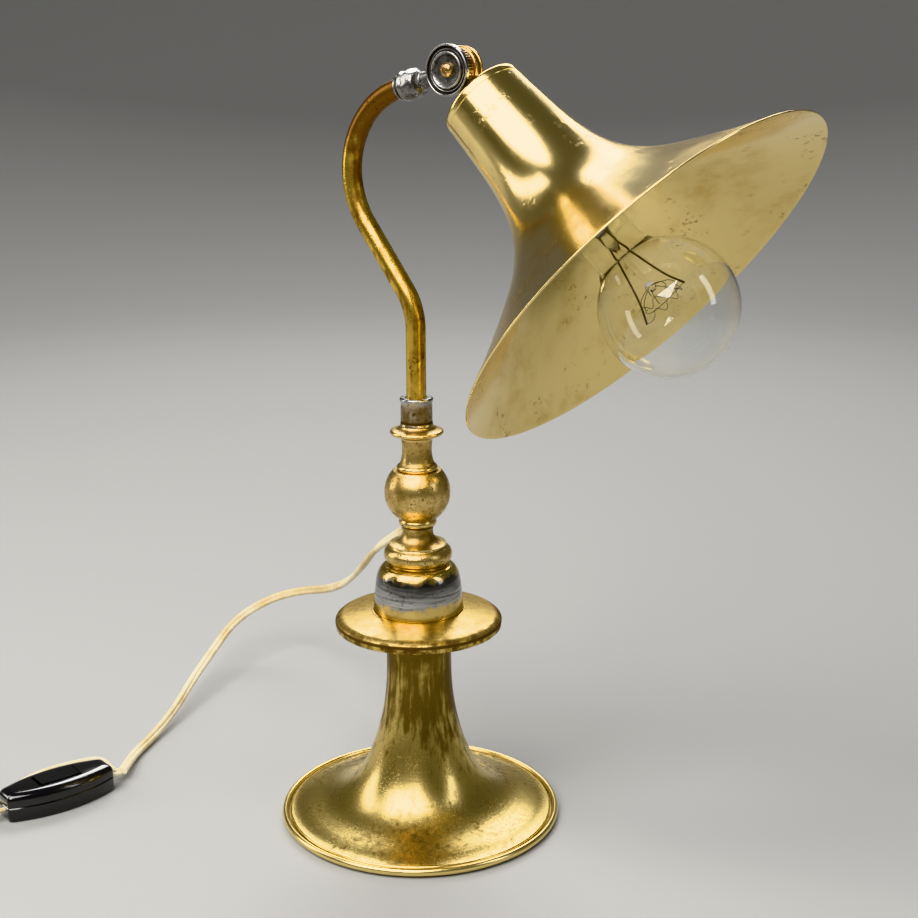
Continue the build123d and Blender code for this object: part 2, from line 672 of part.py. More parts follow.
# ================================================================ lampholder
holder_joint = HOLDER_START + HOLDER_CAP_LEN
with BuildPart() as holder_cap:
    with BuildSketch(shade_section):
        with BuildLine():
            nose = Line((ROD_R + RUNNING, HOLDER_START), (ROD_R + 3.2, HOLDER_START))
            throat = Line(nose @ 1, (ROD_R + 3.2, HOLDER_START + 3.5))
            dome = TangentArc(throat @ 1, (holder_r, HOLDER_START + 12.5), tangent=(0.9, 0.45))
            wall = Line(dome @ 1, (holder_r, holder_joint))
            rim = Line(wall @ 1, (holder_r - HOLDER_WALL, holder_joint))
            inner_wall = Line(rim @ 1, (holder_r - HOLDER_WALL, HOLDER_START + 13.5))
            inner_slope = Line(inner_wall @ 1, (ROD_R + 3.0, HOLDER_START + 7.0))
            floor = Line(inner_slope @ 1, (ROD_R + RUNNING, HOLDER_START + 7.0))
            Line(floor @ 1, nose @ 0)
        make_face()
    revolve(axis=shade_axis)

with BuildPart() as holder_body:
    with BuildSketch(across(holder_joint)):
        Circle(holder_r)
        Circle(holder_r - HOLDER_WALL, mode=Mode.SUBTRACT)
    extrude(amount=HOLDER_LEN)
    with BuildSketch(across(holder_joint + HOLDER_LEN)):
        Circle(holder_r)
        Circle(BULB_CAP_R + 1.0, mode=Mode.SUBTRACT)
    extrude(amount=-1.4)

porcelain_start = holder_joint + 3
porcelain_end = holder_joint + HOLDER_LEN - 1.4
floor_top = porcelain_start + PORCELAIN_FLOOR
with BuildPart() as porcelain_core:
    with BuildSketch(across(porcelain_start)):
        Circle(porcelain_r)
    extrude(amount=porcelain_end - porcelain_start)
    with BuildSketch(across(floor_top)):
        Circle(shell_r + SCREW_SHELL_T + SEAT_GAP)
    extrude(amount=porcelain_end - floor_top, mode=Mode.SUBTRACT)
    with BuildSketch(across(porcelain_start)):
        with PolarLocations(10.0, 2):
            Circle(2.2)
    extrude(amount=PORCELAIN_FLOOR, mode=Mode.SUBTRACT)

with BuildPart() as screw_shell:
    with BuildSketch(across(floor_top + 2)):
        Circle(shell_r + SCREW_SHELL_T)
        Circle(shell_r, mode=Mode.SUBTRACT)
    extrude(amount=porcelain_end - 3 - floor_top - 2)
    with BuildSketch(across(floor_top)):
        Circle(shell_r + SCREW_SHELL_T)
        Circle(shell_r - 2.0, mode=Mode.SUBTRACT)
    extrude(amount=2)

contact_reach = BULB_START - BODY_GAP - floor_top
with BuildPart() as centre_contact:
    with BuildSketch(across(floor_top)):
        RectangleRounded(7.0, 9.0, 1.0)
    extrude(amount=0.8)
    with BuildSketch(across(floor_top)):
        Circle(2.2)
    extrude(amount=contact_reach)

with BuildPart() as terminal_screws:
    with BuildSketch(across(porcelain_start - 1.6)):
        with PolarLocations(10.0, 2):
            Circle(3.0)
    extrude(amount=1.6)
    with BuildSketch(across(porcelain_start)):
        with PolarLocations(10.0, 2):
            Circle(2.2 - SEAT_GAP)
    extrude(amount=PORCELAIN_FLOOR - 4)

# ================================================================ bulb
bulb_cap_start = BULB_START + 6.0
bulb_cap_end = BULB_START + 27.0
globe_at = BULB_START + BULB_LEN - BULB_R
with BuildPart() as bulb_contact:
    with BuildSketch(across(BULB_START)):
        Circle(4.4)
    extrude(amount=1.5)
    fillet(bulb_contact.edges().filter_by(GeomType.CIRCLE).group_by(Axis(tuple(knuckle), tuple(shade_dir)))[0], 0.7)

with BuildPart() as bulb_insulator:
    with BuildSketch(across(BULB_START + 1.5)):
        Circle(5.4)
    with BuildSketch(across(bulb_cap_start)):
        Circle(BULB_CAP_R - 1.6)
    loft()

with BuildPart() as bulb_screw_cap:
    with BuildSketch(across(bulb_cap_start)):
        Circle(BULB_CAP_R)
    extrude(amount=bulb_cap_end - bulb_cap_start)
    chamfer(bulb_screw_cap.faces().sort_by(shade_axis)[0].edges(), 1.2)
    with BuildSketch(across(bulb_cap_end)):
        Circle(BULB_CAP_R - 0.4)
    extrude(amount=-(bulb_cap_end - bulb_cap_start) + 2.0, mode=Mode.SUBTRACT)

glass_start = bulb_cap_end - 8.0
globe_meet = globe_at - 24.5
globe_meet_r = (BULB_R**2 - 24.5**2) ** 0.5
inner_meet_r = ((BULB_R - GLASS_T) ** 2 - 24.5**2) ** 0.5
globe_slope = (24.5 / BULB_R, globe_meet_r / BULB_R)
inner_slope = (24.5 / (BULB_R - GLASS_T), inner_meet_r / (BULB_R - GLASS_T))
with BuildPart() as bulb_glass:
    with BuildSketch(shade_section):
        with BuildLine():
            throat = Line((bulb_neck_r, glass_start), (bulb_neck_r, bulb_cap_end + 4))
            swell = Spline(throat @ 1, (globe_meet_r, globe_meet), tangents=[(0, 1), globe_slope])
            globe = ThreePointArc(swell @ 1, (BULB_R, globe_at), (0, globe_at + BULB_R))
            nose = Line(globe @ 1, (0, globe_at + BULB_R - GLASS_T))
            bore_globe = ThreePointArc(nose @ 1, (BULB_R - GLASS_T, globe_at), (inner_meet_r, globe_meet))
            bore_swell = Spline(
                (bulb_neck_r - GLASS_T, bulb_cap_end + 4), bore_globe @ 1, tangents=[(0, 1), inner_slope]
            )
            bore_throat = Line(bore_swell @ 0, (bulb_neck_r - GLASS_T, glass_start))
            Line(bore_throat @ 1, throat @ 0)
        make_face()
    revolve(axis=shade_axis)

mount_top = globe_at - 14.0
with BuildPart() as bulb_mount:
    with BuildSketch(shade_section):
        with BuildLine():
            flare_foot = Line((0, glass_start), (bulb_neck_r - GLASS_T, glass_start))
            flare_edge = Line(flare_foot @ 1, (bulb_neck_r - GLASS_T, glass_start + 0.8))
            flare_side = RadiusArc(flare_edge @ 1, (3.2, glass_start + 14), 15)
            pinch = Line(flare_side @ 1, (1.3, glass_start + 23))
            glass_rod = Line(pinch @ 1, (1.3, mount_top))
            glass_bead = ThreePointArc(glass_rod @ 1, (2.4, mount_top + 2.2), (1.0, mount_top + 4.3))
            bead_top = Line(glass_bead @ 1, (0, mount_top + 4.3))
            Line(bead_top @ 1, flare_foot @ 0)
        make_face()
    revolve(axis=shade_axis)

lead_base = glass_start + 23.2
with BuildPart() as bulb_leads:
    for side in (-1, 1):
        with BuildLine(shade_section) as lead_line:
            Polyline((side * 2.1, lead_base), (side * 7.5, globe_at - 12), (side * 12.5, globe_at - 3))
        with BuildSketch(Plane(origin=tuple(lead_line.line @ 0), z_dir=tuple(lead_line.line % 0))):
            Circle(LEAD_WIRE_R)
        sweep(path=lead_line.wires()[0], transition=Transition.ROUND)

filament_drop = [(-12.5, -3 + 0.8), (-6.2, 4.0), (0, 1.5), (6.2, 4.0), (12.5, -3 + 0.8)]
with BuildPart() as bulb_filament:
    with BuildLine(shade_section) as filament_line:
        Polyline(*[(x, globe_at + rise) for x, rise in filament_drop])
    with BuildSketch(Plane(origin=tuple(filament_line.line @ 0), z_dir=tuple(filament_line.line % 0))):
        Circle(FILAMENT_R)
    sweep(path=filament_line.wires()[0], transition=Transition.ROUND)

# ================================================================ flex inside the column and the stem
flex_turn = Vector(0, 0, exit_end.Z + exit_end.cross(Vector(0, 0, 1)).length * tan(radians(EXIT_DROP)))
with BuildLine() as column_flex_line:
    FilletPolyline(tuple(exit_end), tuple(flex_turn), (0, 0, nipple_top), radius=4.5)
with BuildPart() as column_flex:
    with BuildSketch(Plane(origin=tuple(exit_end), z_dir=tuple(-exit_dir))):
        Circle(INNER_FLEX_D / 2)
    sweep(path=column_flex_line.wires()[0])

with BuildPart() as stem_flex:
    with BuildSketch(Plane.XY.offset(stem_bottom)):
        Circle(INNER_FLEX_D / 2)
    sweep(path=stem_line.wires()[0])

# ================================================================ in-line switch
switch_dir = Vector(cos(radians(SWITCH_TURN)), sin(radians(SWITCH_TURN)), 0)
switch_side = Vector(switch_dir.Y, -switch_dir.X, 0)
switch_centre = Vector(*SWITCH_AT, 0)
switch_base = Plane(origin=tuple(switch_centre), x_dir=tuple(switch_dir), z_dir=(0, 0, 1))
split_level = SWITCH_H * 0.52
core_shift = CORE_D / 2 + 0.05


def switch_outline(margin):
    """Gives the edges of the switch's plan, pulled in by a margin: blunt ends and two bowed sides."""
    half_len, half_w, half_end = SWITCH_LEN / 2 - margin, SWITCH_W / 2 - margin, SWITCH_END_W / 2 - margin * 0.6
    with BuildLine() as outline:
        near = ThreePointArc((-half_len, -half_end), (0, -half_w), (half_len, -half_end))
        far_end = Line(near @ 1, (half_len, half_end))
        far = ThreePointArc(far_end @ 1, (0, half_w), (-half_len, half_end))
        Line(far @ 1, near @ 0)
    return outline.edges()


entry_plane = Plane(origin=tuple(switch_centre + Vector(0, 0, SWITCH_ENTRY)), x_dir=(0, 0, 1), z_dir=tuple(switch_dir))
screw_spots = [(-SWITCH_LEN / 2 + 9, 0), (SWITCH_LEN / 2 - 9, 0)]
with BuildPart() as switch_lower_shell:
    with BuildSketch(switch_base):
        make_face(switch_outline(0))
    extrude(amount=split_level)
    with BuildSketch(switch_base.offset(SWITCH_WALL)):
        make_face(switch_outline(SWITCH_WALL))
    extrude(amount=SWITCH_H, mode=Mode.SUBTRACT)
    with BuildSketch(switch_base.offset(SWITCH_WALL)):
        with Locations(*screw_spots):
            Circle(2.6)
    extrude(amount=split_level - SWITCH_WALL)
    with BuildSketch(switch_base):
        with Locations(*screw_spots):
            Circle(1.5 + RUNNING)
    extrude(amount=SWITCH_H, mode=Mode.SUBTRACT)
    with BuildSketch(entry_plane.offset(-SWITCH_LEN)):
        with Locations((0, -core_shift)):
            Circle(CORE_D / 2 + SEAT_GAP)
    extrude(amount=2 * SWITCH_LEN, mode=Mode.SUBTRACT)
    chamfer(switch_lower_shell.faces().sort_by(Axis.Z)[0].outer_wire().edges(), 0.6)

with BuildPart() as switch_upper_shell:
    with BuildSketch(switch_base.offset(split_level)):
        make_face(switch_outline(0))
    extrude(amount=SWITCH_H - split_level)
    fillet(switch_upper_shell.faces().sort_by(Axis.Z)[-1].edges(), 3.2)
    with BuildSketch(switch_base.offset(split_level)):
        make_face(switch_outline(SWITCH_WALL + 0.6))
    extrude(amount=SWITCH_H - split_level - SWITCH_WALL, mode=Mode.SUBTRACT)
    with BuildSketch(switch_base.offset(split_level)):
        with Locations(*screw_spots):
            Circle(2.6)
    extrude(amount=SWITCH_H - split_level - SWITCH_WALL)
    with BuildSketch(switch_base.offset(SWITCH_H + 1)):
        Rectangle(ROCKER_LEN + 2 * BODY_GAP, ROCKER_W + 2 * BODY_GAP)
    extrude(amount=-SWITCH_WALL - 3, mode=Mode.SUBTRACT)

rocker_pivot = switch_centre + Vector(0, 0, SWITCH_H - 3.5)
rocker_section = Plane(origin=tuple(rocker_pivot), x_dir=tuple(switch_dir), z_dir=tuple(switch_side))
with BuildPart() as switch_rocker:
    with BuildSketch(rocker_section.offset(-ROCKER_W / 2)):
        with BuildLine():
            top_curve = ThreePointArc((-ROCKER_LEN / 2 + 0.6, 4.2), (0, 3.9), (ROCKER_LEN / 2 - 0.6, 4.2))
            right = Line(top_curve @ 1, (ROCKER_LEN / 2 - 1.4, 0.6))
            belly = Line(right @ 1, (0, -1.6))
            left = Line(belly @ 1, (-ROCKER_LEN / 2 + 1.4, 0.6))
            Line(left @ 1, top_curve @ 0)
        make_face()
    extrude(amount=ROCKER_W)

with BuildPart() as switch_screws:
    with BuildSketch(switch_base.offset(0.3)):
        with Locations(*screw_spots):
            Circle(1.5)
    extrude(amount=split_level - 0.8)

# ================================================================ flex outside the lamp
switch_right = switch_centre - switch_dir * (SWITCH_LEN / 2) + Vector(0, 0, SWITCH_ENTRY)
switch_left = switch_centre + switch_dir * (SWITCH_LEN / 2) + Vector(0, 0, SWITCH_ENTRY)
lead_far = switch_right - switch_dir * LEAD_GAP
lead_end = lead_far - switch_dir * 1.8
lead_route = [
    tuple(exit_end),
    along(exit_end, exit_dir, 22.0),
    (-58, 38, 119),
    (-88, 61, 95),
    (-118, 83, 74),
    (-151, 104, 57),
    (-186, 121, 44),
    (-205, 117, 37.5),
    (-215, 102, 31),
    (-214, 82, 26),
    (-204, 57, 20.5),
    (-193, 29, 14),
    (-179, -1, 7),
    (-169.5, -26, 3.4),
    (-162.5, -45, 3.0),
    (-154, -58, 4.5),
    tuple(lead_end),
]
tail_near = switch_left + switch_dir * LEAD_GAP
coil_centre = Vector(*COIL_AT, 0)
coil_band = 3 * FLEX_D
coil_h = FLEX_D * (1 + 2 * cos(radians(30)))
coil_level = COIL_BOTTOM + coil_h / 2
coil_in = coil_centre + Vector(COIL_R + FLEX_D / 2, 0, COIL_BOTTOM + FLEX_D / 2)
coil_out = coil_centre + Vector(-COIL_R - FLEX_D, 0, coil_level)
tail_route = [
    tuple(tail_near),
    along(tail_near, switch_dir, 12.0),
    tuple(coil_in + Vector(0, 22, 0)),
    tuple(coil_in),
]


def cord_tube(route, diameter):
    """Sweeps a round cord along straight runs joined by arcs, and prints its radii and length."""
    radii = corner_radii(route)
    with BuildLine() as path:
        FilletPolyline(*route, radius=radii)
    start = Vector(*route[1]) - Vector(*route[0])
    with BuildPart() as tube:
        with BuildSketch(Plane(origin=route[0], z_dir=tuple(start))):
            Circle(diameter / 2)
        sweep(path=path.wires()[0])
    length = path.wires()[0].length
    share = tube.part.volume / (pi * diameter**2 / 4 * length)
    print("radii", [round(r, 1) for r in radii], "length", round(length, 1), "volume share", round(share, 4))
    return tube


flex_lead = cord_tube(lead_route, FLEX_D)
flex_tail = cord_tube(tail_route, FLEX_D)

# The two cores part at the switch: one goes through it and the other lies along its far side.
with BuildPart() as switched_core_in:
    with BuildSketch(entry_plane.offset(-SWITCH_LEN / 2 - LEAD_GAP)):
        with Locations((0, -core_shift)):
            Circle(CORE_D / 2)
    extrude(amount=LEAD_GAP + SWITCH_WALL + 4)

with BuildPart() as switched_core_out:
    with BuildSketch(entry_plane.offset(SWITCH_LEN / 2 + LEAD_GAP)):
        with Locations((0, -core_shift)):
            Circle(CORE_D / 2)
    extrude(amount=-LEAD_GAP - SWITCH_WALL - 4)


def beside_switch(lengthwise, sideways, level):
    """Gives a point from its place along and across the switch, and its height."""
    return tuple(switch_centre + switch_dir * lengthwise + switch_side * sideways + Vector(0, 0, level))


half = SWITCH_LEN / 2
bulge = SWITCH_W / 2 + CORE_D / 2
bypass_route = [
    beside_switch(-half - LEAD_GAP, core_shift, SWITCH_ENTRY),
    beside_switch(-half - LEAD_GAP + 2.6, core_shift + 0.6, SWITCH_ENTRY + 1),
    beside_switch(-half - 1.0, SWITCH_END_W / 2 + CORE_D + 0.6, SWITCH_ENTRY + 6.5),
    beside_switch(-half + 12, bulge - 0.9, SWITCH_H - 2.4),
    beside_switch(0, bulge + 0.9, SWITCH_H - 2.4),
    beside_switch(half - 12, bulge - 0.9, SWITCH_H - 4.4),
    beside_switch(half - 1, SWITCH_END_W / 2 + CORE_D + 1, SWITCH_ENTRY + 1.5),
    beside_switch(half + LEAD_GAP - 2.6, core_shift + 0.6, SWITCH_ENTRY),
    beside_switch(half + LEAD_GAP, core_shift, SWITCH_ENTRY),
]
bypass_core = cord_tube(bypass_route, CORE_D)

# ================================================================ stored coil, its tie, and the plug
with BuildPart() as flex_coil:
    with BuildSketch(Plane(origin=tuple(coil_centre), x_dir=(1, 0, 0), z_dir=(0, -1, 0))):
        with Locations((COIL_R, coil_level)):
            RectangleRounded(coil_band, coil_h, 4.4)
    revolve(axis=Axis(tuple(coil_centre), (0, 0, 1)))
    for end in (coil_in, coil_out):
        with BuildSketch(Plane(origin=tuple(end), x_dir=(1, 0, 0), z_dir=(0, 1, 0))):
            Rectangle(FLEX_D + 6 * SEAT_GAP, FLEX_D + 6 * SEAT_GAP)
        extrude(amount=COIL_R, mode=Mode.SUBTRACT)

tie_plane = Plane(origin=(coil_centre.X, coil_centre.Y - COIL_R, 0), x_dir=(0, 1, 0), z_dir=(1, 0, 0))
with BuildPart() as coil_tie:
    with BuildSketch(tie_plane.offset(-TIE_W / 2)):
        with Locations((0, coil_level)):
            RectangleRounded(coil_band + 2 * TIE_T + 2 * SEAT_GAP, coil_h + 2 * TIE_T + 2 * SEAT_GAP, 5.0)
            RectangleRounded(coil_band + 2 * SEAT_GAP, coil_h + 2 * SEAT_GAP, 4.5, mode=Mode.SUBTRACT)
    extrude(amount=TIE_W)

plug_start = coil_out + Vector(-1, 30, PLUG_H / 2 - coil_out.Z)
end_route = [
    tuple(coil_out),
    tuple(coil_out + Vector(0, 11, 0)),
    tuple(plug_start - Vector(0, 9, 0)),
    tuple(plug_start),
]
flex_end = cord_tube(end_route, FLEX_D)

plug_plane = Plane(origin=tuple(plug_start), x_dir=(1, 0, 0), z_dir=(0, 1, 0))
with BuildPart() as plug_body:
    with BuildSketch(plug_plane):
        RectangleRounded(8.0, 8.0, 2.5)
    with BuildSketch(plug_plane.offset(PLUG_LEN * 0.45)):
        RectangleRounded(PLUG_W + 6, PLUG_H, 4.5)
    with BuildSketch(plug_plane.offset(PLUG_LEN)):
        RectangleRounded(PLUG_W + 10, PLUG_H - 1.0, 5.0)
    loft(ruled=True)

with BuildPart() as plug_pins:
    with BuildSketch(plug_plane.offset(PLUG_LEN)):
        with GridLocations(PIN_SPACING, 1, 2, 1):
            Circle(PIN_R)
    extrude(amount=PIN_LEN)
    fillet(plug_pins.faces().sort_by(Axis.Y)[-2:].edges(), PIN_R * 0.6)

# ================================================================ files
for name, piece in {
    "foot_shell": foot_shell,
    "rim_ring": rim_ring,
    "felt_pad": felt_pad,
    "base_weight": base_weight,
    "tie_rod": tie_rod,
    "tie_rod_washer": tie_rod_washer,
    "tie_rod_nut": tie_rod_nut,
    "drip_disc": drip_disc,
    "dome_cup": dome_cup,
    "column_ring": column_ring,
    "lower_neck": lower_neck,
    "cord_bushing": cord_bushing,
    "ball_knop": ball_knop,
    "upper_neck": upper_neck,
    "top_flange": top_flange,
    "stem_ferrule": stem_ferrule,
    "column_nipple": column_nipple,
    "column_flex": column_flex,
    "stem_tube": stem_tube,
    "stem_flex": stem_flex,
    "arm_lug": arm_lug,
    "friction_washer": friction_washer,
    "face_disc": face_disc,
    "knuckle_screw": knuckle_screw,
    "shade_lug": shade_lug,
    "spring_washer": spring_washer,
    "knuckle_nut": knuckle_nut,
    "shade_nipple": shade_nipple,
    "shade_cap": shade_cap,
    "shade_bell": shade_bell,
    "cap_locknut": cap_locknut,
    "holder_cap": holder_cap,
    "holder_body": holder_body,
    "porcelain_core": porcelain_core,
    "screw_shell": screw_shell,
    "centre_contact": centre_contact,
    "terminal_screws": terminal_screws,
    "bulb_contact": bulb_contact,
    "bulb_insulator": bulb_insulator,
    "bulb_screw_cap": bulb_screw_cap,
    "bulb_glass": bulb_glass,
    "bulb_mount": bulb_mount,
    "bulb_leads": bulb_leads,
    "bulb_filament": bulb_filament,
    "switch_lower_shell": switch_lower_shell,
    "switch_upper_shell": switch_upper_shell,
    "switch_rocker": switch_rocker,
    "switch_screws": switch_screws,
    "flex_lead": flex_lead,
    "switched_core_in": switched_core_in,
    "switched_core_out": switched_core_out,
    "bypass_core": bypass_core,
    "flex_tail": flex_tail,
    "flex_coil": flex_coil,
    "coil_tie": coil_tie,
    "flex_end": flex_end,
    "plug_body": plug_body,
    "plug_pins": plug_pins,
}.items():
    save(piece, name)
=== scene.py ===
"""Looks of an adjustable brass table lamp, from its turned foot to its bell shade, bulb and flex.

Sizes are in millimetres and turn into metres where a mesh is made. The lamp stands at the origin, with its
stem and shade in the XZ plane.
"""

from __future__ import annotations

import json
import logging
import math
from dataclasses import dataclass, field
from enum import Enum
from typing import Callable, Sequence

import bmesh
import bpy
import numpy as np
from mathutils import Matrix, Vector

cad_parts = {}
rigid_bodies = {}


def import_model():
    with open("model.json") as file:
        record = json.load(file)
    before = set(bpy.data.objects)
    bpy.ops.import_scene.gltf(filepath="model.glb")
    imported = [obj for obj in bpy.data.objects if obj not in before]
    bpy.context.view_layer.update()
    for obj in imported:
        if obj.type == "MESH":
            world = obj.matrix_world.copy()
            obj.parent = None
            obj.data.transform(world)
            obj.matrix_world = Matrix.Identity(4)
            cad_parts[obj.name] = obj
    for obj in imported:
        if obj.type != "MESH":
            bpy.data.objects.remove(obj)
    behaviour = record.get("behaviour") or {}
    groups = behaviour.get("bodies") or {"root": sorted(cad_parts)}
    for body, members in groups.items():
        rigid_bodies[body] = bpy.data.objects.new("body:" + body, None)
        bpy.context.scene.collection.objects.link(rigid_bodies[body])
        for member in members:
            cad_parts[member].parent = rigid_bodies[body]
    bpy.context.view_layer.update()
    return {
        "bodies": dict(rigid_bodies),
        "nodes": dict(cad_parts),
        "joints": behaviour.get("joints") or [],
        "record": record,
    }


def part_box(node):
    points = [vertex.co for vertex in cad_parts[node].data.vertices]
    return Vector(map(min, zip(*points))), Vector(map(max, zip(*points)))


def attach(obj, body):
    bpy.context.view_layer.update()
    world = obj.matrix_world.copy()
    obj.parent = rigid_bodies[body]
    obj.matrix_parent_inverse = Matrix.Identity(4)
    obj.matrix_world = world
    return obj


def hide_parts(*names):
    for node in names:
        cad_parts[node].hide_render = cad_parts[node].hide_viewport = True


log = logging.getLogger("table_lamp")

MM = 0.001
TURNED_SEGMENTS = 160
# Points nearer than this, in millimetres, are one point, or stand on the axis.
SAME_PLACE = 1e-4
ON_AXIS = 1e-5
# Edges that turn by more than this stay crisp.
SHARP_TURN = math.radians(34)
TUBE_SHARP_TURN = math.radians(50)
COVER_SHARP_TURN = math.radians(40)
# How far the wear at a corner spreads, in millimetres and in points of the outline.
WEAR_REACH = 0.9
WEAR_WINDOW = 8
# A path is upright, or steep, when its sideways share is under this.
UPRIGHT = 0.05
STEEP = 0.15
# How softly a band of plating starts and stops, in metres.
PLATE_EDGE = 0.0012
Pair = tuple[float, float]
Triple = tuple[float, float, float]


class Body(Enum):
    """The bodies that move on their own."""

    BASE = "base"
    ARM = "arm"
    SCREW = "hinge_screw"
    SHADE = "shade"
    BULB = "bulb"
    ROCKER = "rocker"


# ---------------------------------------------------------------- outlines


def spline(
    knots: Sequence[Pair], steps: int = 10, start: Pair | None = None, end: Pair | None = None
) -> list[Pair]:
    """Runs a smooth cubic through knots.

    Args:
        knots: The points that the curve passes.
        steps: How many pieces each span is cut into.
        start: The direction at the first knot, or None for a free end.
        end: The direction at the last knot, or None for a free end.

    Returns:
        The points of the curve, both ends included.
    """
    pts = np.array(knots, float)
    gaps = np.linalg.norm(np.diff(pts, axis=0), axis=1)
    count = len(pts)
    rows, right = np.zeros((count, count)), np.zeros((count, 2))
    for i in range(1, count - 1):
        a, b = gaps[i - 1], gaps[i]
        rows[i, i - 1 : i + 2] = (b, 2 * (a + b), a)
        right[i] = 3 * (b * (pts[i] - pts[i - 1]) / a + a * (pts[i + 1] - pts[i]) / b)
    for row, near, way, gap, rise in (
        (0, 1, start, gaps[0], pts[1] - pts[0]),
        (count - 1, count - 2, end, gaps[-1], pts[-1] - pts[-2]),
    ):
        rows[row, row] = 1.0 if way else 2.0
        if way:
            right[row] = np.array(way) / np.linalg.norm(way)
        else:
            rows[row, near], right[row] = 1.0, 3 * rise / gap
    slopes = np.linalg.solve(rows, right)
    out: list[Pair] = []
    for i, gap in enumerate(gaps):
        for t in np.linspace(0, 1, steps, endpoint=False):
            h = (2 * t**3 - 3 * t**2 + 1, t**3 - 2 * t**2 + t, 3 * t**2 - 2 * t**3, t**3 - t**2)
            p = h[0] * pts[i] + h[1] * gap * slopes[i]
            p = p + h[2] * pts[i + 1] + h[3] * gap * slopes[i + 1]
            out.append((float(p[0]), float(p[1])))
    out.append((float(pts[-1][0]), float(pts[-1][1])))
    return out


def rounded(corners: Sequence[tuple[float, float, float]], steps: int = 5) -> list[Pair]:
    """Rounds the corners of an open outline.

    Args:
        corners: Each corner's place and the length that its rounding takes from both sides.
        steps: How many pieces each rounding has.

    Returns:
        The outline's points.
    """
    out: list[Pair] = []
    for i, (x, y, cut) in enumerate(corners):
        if cut <= 0 or i in (0, len(corners) - 1):
            out.append((x, y))
            continue
        here = Vector((x, y))
        back = Vector(corners[i - 1][:2]) - here
        ahead = Vector(corners[i + 1][:2]) - here
        a, b = here + back.normalized() * cut, here + ahead.normalized() * cut
        for k in range(steps + 1):
            t = k / steps
            p = a * (1 - t) ** 2 + here * 2 * t * (1 - t) + b * t**2
            out.append((p.x, p.y))
    return out


def arc(start: Pair, middle: Pair, end: Pair, steps: int = 14) -> list[Pair]:
    """Gives the points of the circle's arc through three points."""
    (ax, ay), (bx, by), (cx, cy) = start, middle, end
    d = 2 * (ax * (by - cy) + bx * (cy - ay) + cx * (ay - by))
    a2, b2, c2 = ax * ax + ay * ay, bx * bx + by * by, cx * cx + cy * cy
    ox = (a2 * (by - cy) + b2 * (cy - ay) + c2 * (ay - by)) / d
    oy = (a2 * (cx - bx) + b2 * (ax - cx) + c2 * (bx - ax)) / d
    radius = math.hypot(ax - ox, ay - oy)
    first, mid, last = (math.atan2(y - oy, x - ox) for x, y in (start, middle, end))
    turn = (last - first) % math.tau
    if (mid - first) % math.tau > turn:
        turn -= math.tau
    angles = (first + turn * k / steps for k in range(steps + 1))
    return [(ox + radius * math.cos(t), oy + radius * math.sin(t)) for t in angles]


def refined(outline: Sequence[Pair], closed: bool, longest: float = 1.2) -> list[Pair]:
    """Drops doubled points and cuts long runs, so that wear at a corner stays near it."""
    pts = [outline[0]]
    for p in outline[1:]:
        if math.dist(p, pts[-1]) > SAME_PLACE:
            pts.append(p)
    if closed and math.dist(pts[0], pts[-1]) < SAME_PLACE:
        pts.pop()
    out: list[Pair] = []
    for i, a in enumerate(pts):
        if i == len(pts) - 1 and not closed:
            out.append(a)
            break
        b = pts[(i + 1) % len(pts)]
        parts = max(1, math.ceil(math.dist(a, b) / longest))
        for k in range(parts):
            out.append((a[0] + (b[0] - a[0]) * k / parts, a[1] + (b[1] - a[1]) * k / parts))
    return out


# ---------------------------------------------------------------- meshes


def finish_mesh(
    bm: bmesh.types.BMesh, name: str, place: Matrix | None = None, sharp: float = SHARP_TURN
) -> bpy.types.Object:
    """Turns a bmesh in millimetres into a smooth shaded object at the origin, in metres.

    Args:
        bm: The mesh, freed here.
        name: The piece's name.
        place: Where the mesh goes, in millimetres, or None to leave it.
        sharp: Edges that turn by more than this stay crisp.

    Returns:
        The new object.
    """
    bmesh.ops.recalc_face_normals(bm, faces=bm.faces)
    for edge in bm.edges:
        if len(edge.link_faces) == 2 and edge.calc_face_angle(0.0) > sharp:
            edge.smooth = False
    if place is not None:
        bm.transform(place)
    if bm.calc_volume(signed=True) < 0:
        bmesh.ops.reverse_faces(bm, faces=bm.faces)
    bm.transform(Matrix.Scale(MM, 4))
    mesh = bpy.data.meshes.new(name)
    bm.to_mesh(mesh)
    bm.free()
    mesh.shade_smooth()
    obj = bpy.data.objects.new(name, mesh)
    bpy.context.collection.objects.link(obj)
    return obj


def skin(bm: bmesh.types.BMesh, rings: Sequence[Sequence[bmesh.types.BMVert]]) -> None:
    """Joins each ring of vertices to the next."""
    for a, b in zip(rings, rings[1:]):
        for k in range(len(a)):
            bm.faces.new((a[k], a[(k + 1) % len(a)], b[(k + 1) % len(a)], b[k]))


def in_metres(place: Matrix) -> Matrix:
    """Gives a place in millimetres as the same place in metres."""
    return Matrix.Scale(MM, 4) @ place @ Matrix.Scale(1 / MM, 4)


